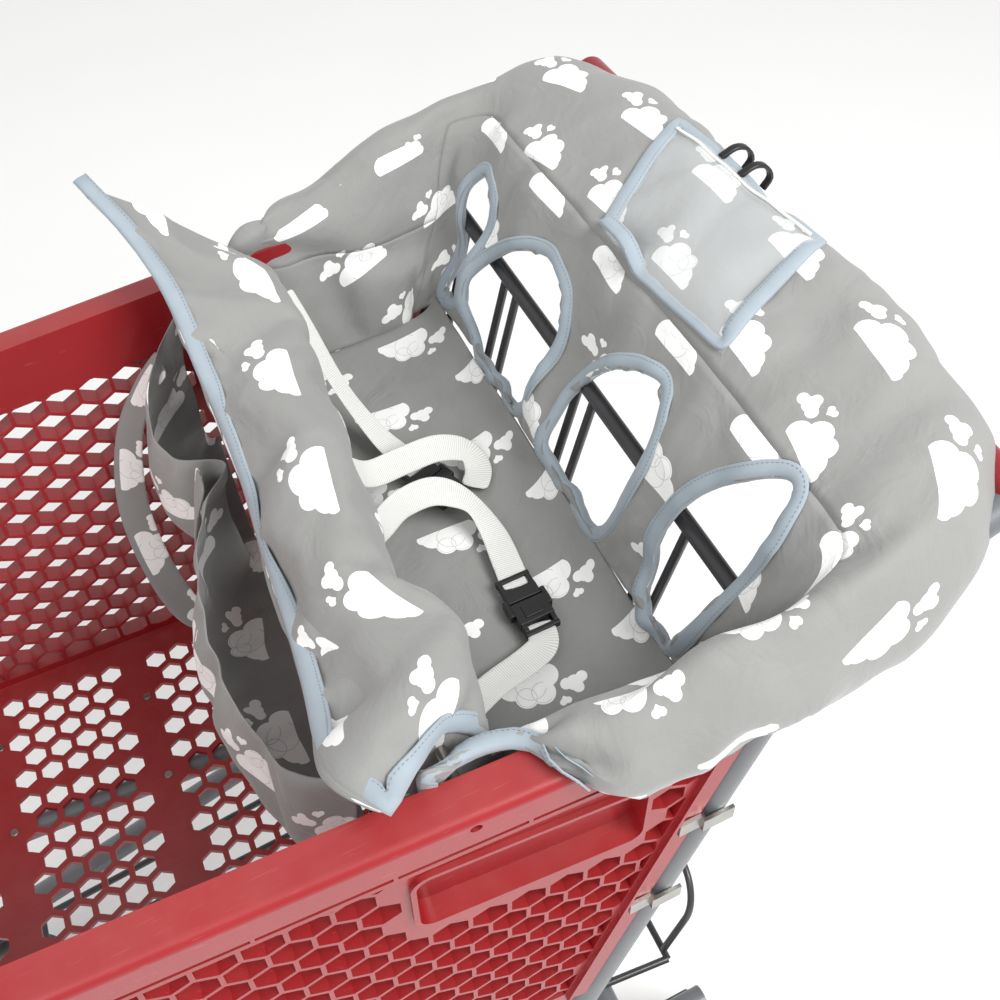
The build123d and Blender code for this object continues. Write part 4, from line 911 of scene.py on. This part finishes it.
def ribbon(name, path, faces_to, width, thick, material, size=0.008, uv_shift=(0, 0), cap=True):
    """Flat strap along a smooth path; faces_to is where its broad side looks at each key point."""
    t = steps(np.array(path)[:, None], size)
    line = catmull(np.array(path), t)
    look = unit(catmull(np.array(faces_to, float), t))
    along = unit(np.gradient(line, axis=0))
    side = unit(np.cross(look, along))
    up = unit(np.cross(along, side))
    across = np.linspace(-0.5, 0.5, 5)
    top = np.stack([line + side * width * a + up * thick / 2 for a in across], 1)
    low = np.stack([line + side * width * a - up * thick / 2 for a in across], 1)
    ring = np.concatenate([top, low[:, ::-1]], 1)
    n, m = ring.shape[:2]
    faces = []
    for i in range(n - 1):
        for j in range(m):
            k = (j + 1) % m
            faces.append((i * m + j, i * m + k, (i + 1) * m + k, (i + 1) * m + j))
    faces.append(tuple(range(m))[::-1])
    faces.append(tuple((n - 1) * m + j for j in range(m)))
    run = np.concatenate([[0], np.cumsum(np.linalg.norm(np.diff(line, axis=0), axis=1))])
    cross = np.concatenate([across, across[::-1]]) * width
    uv = np.stack([np.repeat(run[:, None], m, 1) + uv_shift[0], np.repeat(cross[None], n, 0) + uv_shift[1]], -1)
    made = new_object(name, ring.reshape(-1, 3), faces, [material], uv.reshape(-1, 2))
    bm = bmesh.new()
    bm.from_mesh(made.data)
    bmesh.ops.recalc_face_normals(bm, faces=bm.faces)
    bm.to_mesh(made.data)
    bm.free()
    return made, float(run[-1])


LOOP_PATH = ((-0.012, -0.228, 0.905), (0.010, -0.236, 0.872), (0.036, -0.238, 0.815), (0.052, -0.232, 0.735),
             (0.050, -0.212, 0.665), (0.036, -0.182, 0.615), (0.016, -0.158, 0.610), (-0.004, -0.140, 0.660),
             (0.000, -0.122, 0.745), (0.004, -0.108, 0.820), (-0.010, -0.104, 0.880))
LOOP_LOOK = ((1, 0.2, 0.5), (1, 0.3, 0.6), (0.8, 0.8, 0.5), (0.3, 1, 0.4), (0.1, 0.8, 0.7), (0, 0.3, 1),
             (-0.1, -0.5, 0.9), (0, -0.9, 0.4), (0.4, -0.8, 0.3), (1, -0.3, 0.3), (1, 0, 0.4))
carry_loop, loop_length = ribbon("carry_loop", LOOP_PATH, LOOP_LOOK, 0.030, 0.003, cover_cloth, 0.01, (0.02, 0.03))
smooth = carry_loop.modifiers.new("soft", "SUBSURF")
smooth.levels = smooth.render_levels = 1
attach(carry_loop, "seat_back")

# ---- safety belts ----
# Two lap belts of white 25 mm polypropylene webbing come out of slots in the back pad and lie
# slack across the seat. The webbing is ribbed across by its weft, with painted shade in the hollows between the ribs.

webbing, tree, shader = finish_material("ribbed_webbing_white", IOR=1.5, Sheen_Weight=0.2)
flat = add(tree, "UVMap", uv_map="cloth").outputs[0]
ribs = add(tree, "TexWave", {"Vector": flat, "Scale": 170.0, "Distortion": 0.3}, bands_direction="X")
edge = add(tree, "TexWave", {"Vector": flat, "Scale": 700.0, "Distortion": 0.2}, bands_direction="Y")
weave = add(tree, "Math", {0: ribs.outputs[1], 1: edge.outputs[1]}, operation="ADD")
# painted shade: the white is darker in the hollows between the ribs, following the same wave as their bump
tone = add(tree, "Mix", {0: ribs.outputs[1], 6: linear("#cfcfca"), 7: linear("#efefec")}, data_type="RGBA")
raised = add(tree, "Bump", {"Height": weave.outputs[0], "Strength": 0.5, "Distance": 0.0005})
tree.links.new(tone.outputs[2], shader.inputs["Base Color"])
tree.links.new(raised.outputs[0], shader.inputs["Normal"])
shader.inputs["Roughness"].default_value = 0.75

BELTS = (
    ("belt_right_upper", ((-0.124, -0.196, 0.968), (-0.134, -0.178, 0.938), (-0.149, -0.138, 0.890), (-0.166, -0.104, 0.858), (-0.180, -0.074, 0.848), (-0.186, -0.054, 0.847)),
     ((-0.6, 0.5, 0.6), (-0.7, 0.5, 0.5), (-0.7, 0.3, 0.6), (-0.4, 0.1, 0.9), (0, 0, 1), (0, 0, 1))),
    ("belt_right_loop", ((-0.116, -0.030, 0.915), (-0.138, -0.040, 0.884), (-0.170, -0.050, 0.874), (-0.205, -0.056, 0.868), (-0.231, -0.052, 0.856), (-0.234, -0.034, 0.848), (-0.222, -0.018, 0.846)),
     ((-0.5, 0.3, 0.9), (-0.3, 0.5, 0.9), (-0.1, 0.6, 0.8), (0, 0.5, 0.9), (-0.3, 0.3, 0.9), (0, 0, 1), (0, 0, 1))),
    ("belt_left_upper", ((-0.113, 0.050, 0.925), (-0.126, 0.030, 0.905), (-0.150, 0.008, 0.892), (-0.182, -0.002, 0.880), (-0.207, 0.008, 0.864), (-0.216, 0.034, 0.851), (-0.214, 0.068, 0.848), (-0.211, 0.094, 0.847)),
     ((-0.7, 0.3, 0.7), (-0.6, 0.5, 0.7), (-0.3, 0.8, 0.7), (-0.2, 0.6, 0.8), (-0.6, 0.3, 0.8), (-0.3, 0, 1), (0, 0, 1), (0, 0, 1))),
    ("belt_left_lower", ((-0.212, 0.130, 0.847), (-0.208, 0.150, 0.848), (-0.188, 0.160, 0.850), (-0.158, 0.168, 0.852), (-0.128, 0.186, 0.866), (-0.106, 0.210, 0.905), (-0.095, 0.232, 0.948)),
     ((0, 0, 1), (0, 0, 1), (0, 0, 1), (-0.1, -0.1, 1), (-0.5, -0.3, 0.8), (-0.8, -0.4, 0.4), (-0.8, -0.4, 0.3))),
)
for name, path, look in BELTS:
    belt, _ = ribbon(name, path, look, 0.025, 0.0016, webbing, 0.006)
    smooth = belt.modifiers.new("soft", "SUBSURF")
    smooth.levels = smooth.render_levels = 1
    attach(belt, "seat")
    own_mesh(belt)
    if name == "belt_right_upper":
        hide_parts("seat_belts")

# ---- belt buckles ----
# Side-release buckles moulded in black acetal: a flat socket with open sides, the latch's two
# prongs in it and a slotted bar at each end for the webbing.

acetal, tree, shader = finish_material("moulded_acetal_black", IOR=1.48)
place = add(tree, "TexCoord").outputs["Object"]
vary(tree, shader, place, ("#111112", "#1d1d1f"), 50.0, (0.3, 0.5), 1800.0, 0.1)


def block(bm, centre, size, turn):
    """Adds a box to a mesh under construction, placed by a matrix."""
    made = bmesh.ops.create_cube(bm, size=1.0)
    bmesh.ops.scale(bm, vec=size, verts=made["verts"])
    bmesh.ops.translate(bm, vec=centre, verts=made["verts"])
    bmesh.ops.transform(bm, matrix=turn, verts=made["verts"])


def buckle(name, centre, heading, tilt=0.0):
    """One closed buckle, its length along the heading in the seat's plane."""
    turn = Matrix.Translation(centre) @ Matrix.Rotation(heading, 4, "Z") @ Matrix.Rotation(tilt, 4, "Y")
    bm = bmesh.new()
    for at, size in (
        ((0.008, 0, 0), (0.020, 0.030, 0.0095)), ((0.021, 0.0125, 0), (0.008, 0.004, 0.008)),
        ((0.021, -0.0125, 0), (0.008, 0.004, 0.008)), ((0.026, 0, 0), (0.004, 0.030, 0.006)),
        ((0.0, 0.0165, 0), (0.016, 0.004, 0.0085)), ((0.0, -0.0165, 0), (0.016, 0.004, 0.0085)),
        ((-0.010, 0, 0), (0.012, 0.029, 0.0075)), ((-0.021, 0.0125, 0), (0.011, 0.004, 0.006)),
        ((-0.021, -0.0125, 0), (0.011, 0.004, 0.006)), ((-0.027, 0, 0), (0.004, 0.030, 0.0055)),
        ((0.008, 0, 0.005), (0.012, 0.016, 0.0012)),
    ):
        block(bm, at, size, turn)
    mesh = bpy.data.meshes.new(name)
    bm.to_mesh(mesh)
    bm.free()
    mesh.materials.append(acetal)
    made = bpy.data.objects.new(name, mesh)
    bpy.context.scene.collection.objects.link(made)
    round_off = made.modifiers.new("edges", "BEVEL")
    round_off.width = 0.0012
    round_off.segments = 2
    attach(made, "seat")
    return made


right_buckle = buckle("buckle_right", (-0.192, -0.038, 0.8475), math.radians(112))
left_buckle = buckle("buckle_left", (-0.212, 0.112, 0.8475), math.radians(92))
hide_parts("belt_buckle")

# ---- clear window pocket ----
# Clear flexible vinyl in a frame of the binding tape, sewn on top of the hood for a telephone. A
# white coil zip closes its rear edge. The sheet is slightly bowed and catches the light.

vinyl, tree, shader = finish_material("flexible_vinyl_clear", IOR=1.53, Transmission_Weight=0.0, Alpha=0.22)
place = add(tree, "TexCoord").outputs["Object"]
wave = add(tree, "TexNoise", {"Vector": place, "Scale": 22.0, "Detail": 2.0, "Distortion": 0.8})
buckled = add(tree, "Bump", {"Height": wave.outputs[0], "Strength": 0.6, "Distance": 0.004})
film = add(tree, "MapRange", {0: wave.outputs[0], 3: 0.06, 4: 0.16})
tree.links.new(buckled.outputs[0], shader.inputs["Normal"])
tree.links.new(film.outputs[0], shader.inputs["Roughness"])
shader.inputs["Base Color"].default_value = linear("#dfe3e4")
vinyl.surface_render_method = "BLENDED"

dg = bpy.context.evaluated_depsgraph_get()
hood_tree = BVHTree.FromObject(hood, dg)


def on_hood(x, y, rise):
    """Point on the hood's top under or over (x, y), raised by rise."""
    hit = hood_tree.ray_cast(Vector((x, y, 1.3)), Vector((0, 0, -1)))
    z = hit[0].z if hit[0] is not None else 1.065
    return np.array((x, y, z + rise))


POCKET = ((-0.356, -0.062), (-0.474, -0.132), (-0.490, 0.066), (-0.368, 0.112))
corner = [np.array(c) for c in POCKET]


def pocket_point(s, t, rise):
    """Point of the pocket at s along its front edge and t towards its rear edge."""
    flat = (corner[0] * (1 - s) + corner[3] * s) * (1 - t) + (corner[1] * (1 - s) + corner[2] * s) * t
    return on_hood(flat[0], flat[1], rise)


sheet_points = []
for i in range(17):
    for j in range(13):
        s, t = i / 16, j / 12
        bow = 0.002 + 0.006 * math.sin(math.pi * s) * math.sin(math.pi * t)
        sheet_points.append(pocket_point(s, t, bow))
pane = new_object("window_pane", sheet_points, grid_faces(17, 13), [vinyl])
if pane.data.polygons[0].normal.z < 0:
    pane.data.flip_normals()
pane_wall = pane.modifiers.new("film", "SOLIDIFY")
pane_wall.thickness = 0.0005
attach(pane, "cart")
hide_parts("window_pocket")
border = [(s, 0.0) for s in np.linspace(0, 1, 24)][:-1] + [(1.0, t) for t in np.linspace(0, 1, 18)][:-1]
border += [(s, 1.0) for s in np.linspace(1, 0, 24)][:-1] + [(0.0, t) for t in np.linspace(1, 0, 18)][:-1]
frame_line = np.array([pocket_point(s, t, 0.0030) for s, t in border])
inward = frame_line.mean(0) - frame_line
window_tape, seam = bind("window_tape", relax(frame_line, 2, True), np.tile([0.15, 0, 1.0], (len(frame_line), 1)), 0.001, True, inward=inward, width=0.012)
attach(window_tape, "cart")
window_thread = sew("window_stitches", [seam])
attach(window_thread, "cart")
zip_white, tree, shader = finish_material("nylon_coil_white", IOR=1.53)
place = add(tree, "TexCoord").outputs["Object"]
vary(tree, shader, place, ("#d9d9d4", "#e9e9e5"), 90.0, (0.4, 0.6), 1500.0, 0.2)
zip_line = np.array([pocket_point(s, 0.88, 0.0050) for s in np.linspace(0.06, 0.94, 60)])
zip_coil = sew("zip_coil", [(zip_line, False)], 0.0017, 0.0006, 0.0016, zip_white)
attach(zip_coil, "cart")

# ---- cart hooks behind the hood ----
# Two small black snap hooks on tabs of the binding tape, to hang the cover up by when it is off.

hook_mesh = []
for y in (-0.062, -0.034):
    top = on_hood(-0.486, y, 0.004)
    path = [tuple(top + d) for d in ((0.014, 0, 0.004), (0.0, 0, 0.010), (-0.012, 0, 0.006), (-0.018, 0, -0.006), (-0.012, 0, -0.016))]
    hook, _ = ribbon("hook", path, [(0.3, 0, 1), (0, 0, 1), (-0.5, 0, 0.8), (-1, 0, 0.1), (-0.8, 0, -0.6)], 0.006, 0.003, acetal, 0.004)
    hook_mesh.append(hook)
hooks = join("cart_hooks", hook_mesh)
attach(hooks, "cart")

# ---- floor, light and camera ----
# A plain pale floor under soft studio light, seen from above the cart's left front.

floor_mat, tree, shader = finish_material("painted_floor_pale", IOR=1.45)
place = add(tree, "TexCoord").outputs["Object"]
vary(tree, shader, place, ("#f4f4f3", "#f7f7f6"), 3.0, (0.75, 0.85), 300.0, 0.05)
floor = new_object("floor", [(-9, -9, -0.001), (9, -9, -0.001), (9, 9, -0.001), (-9, 9, -0.001)], [(0, 1, 2, 3)], [floor_mat])
floor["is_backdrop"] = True
world = bpy.data.worlds.new("studio")
bpy.context.scene.world = world
world.use_nodes = True
world.node_tree.nodes["Background"].inputs[0].default_value = linear("#ffffff")
world.node_tree.nodes["Background"].inputs[1].default_value = 0.78


def softbox(name, place, aim, size, power):
    """Square area light that faces a point."""
    light = bpy.data.lights.new(name, "AREA")
    light.size = size
    light.energy = power
    made = bpy.data.objects.new(name, light)
    made.location = place
    made.rotation_euler = (Vector(aim) - Vector(place)).to_track_quat("-Z", "Y").to_euler()
    bpy.context.scene.collection.objects.link(made)


softbox("key", (-1.2, 1.6, 3.0), (-0.2, 0, 0.9), 1.3, 85)
softbox("fill", (1.8, 1.2, 2.4), (-0.1, 0, 0.8), 2.0, 26)
camera = bpy.data.objects.new("camera", bpy.data.cameras.new("camera"))
bpy.context.scene.collection.objects.link(camera)
right, down, ahead = Vector((-0.8985, 0.4389, 0.0048)), Vector((0.2974, 0.6168, -0.7288)), Vector((-0.3228, -0.6534, -0.6847))
turn = Matrix((right, -down, -ahead)).transposed()
camera.matrix_world = Matrix.Translation((0.0234, 0.6088, 1.6473)) @ turn.to_4x4()
camera.data.lens = 42.81
camera.data.sensor_width = 36
camera.data.shift_x = -0.0405
camera.data.shift_y = -0.1547
camera.data.clip_start = 0.02
bpy.context.scene.camera = camera
bpy.context.scene.view_settings.view_transform = "Standard"

low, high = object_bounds()
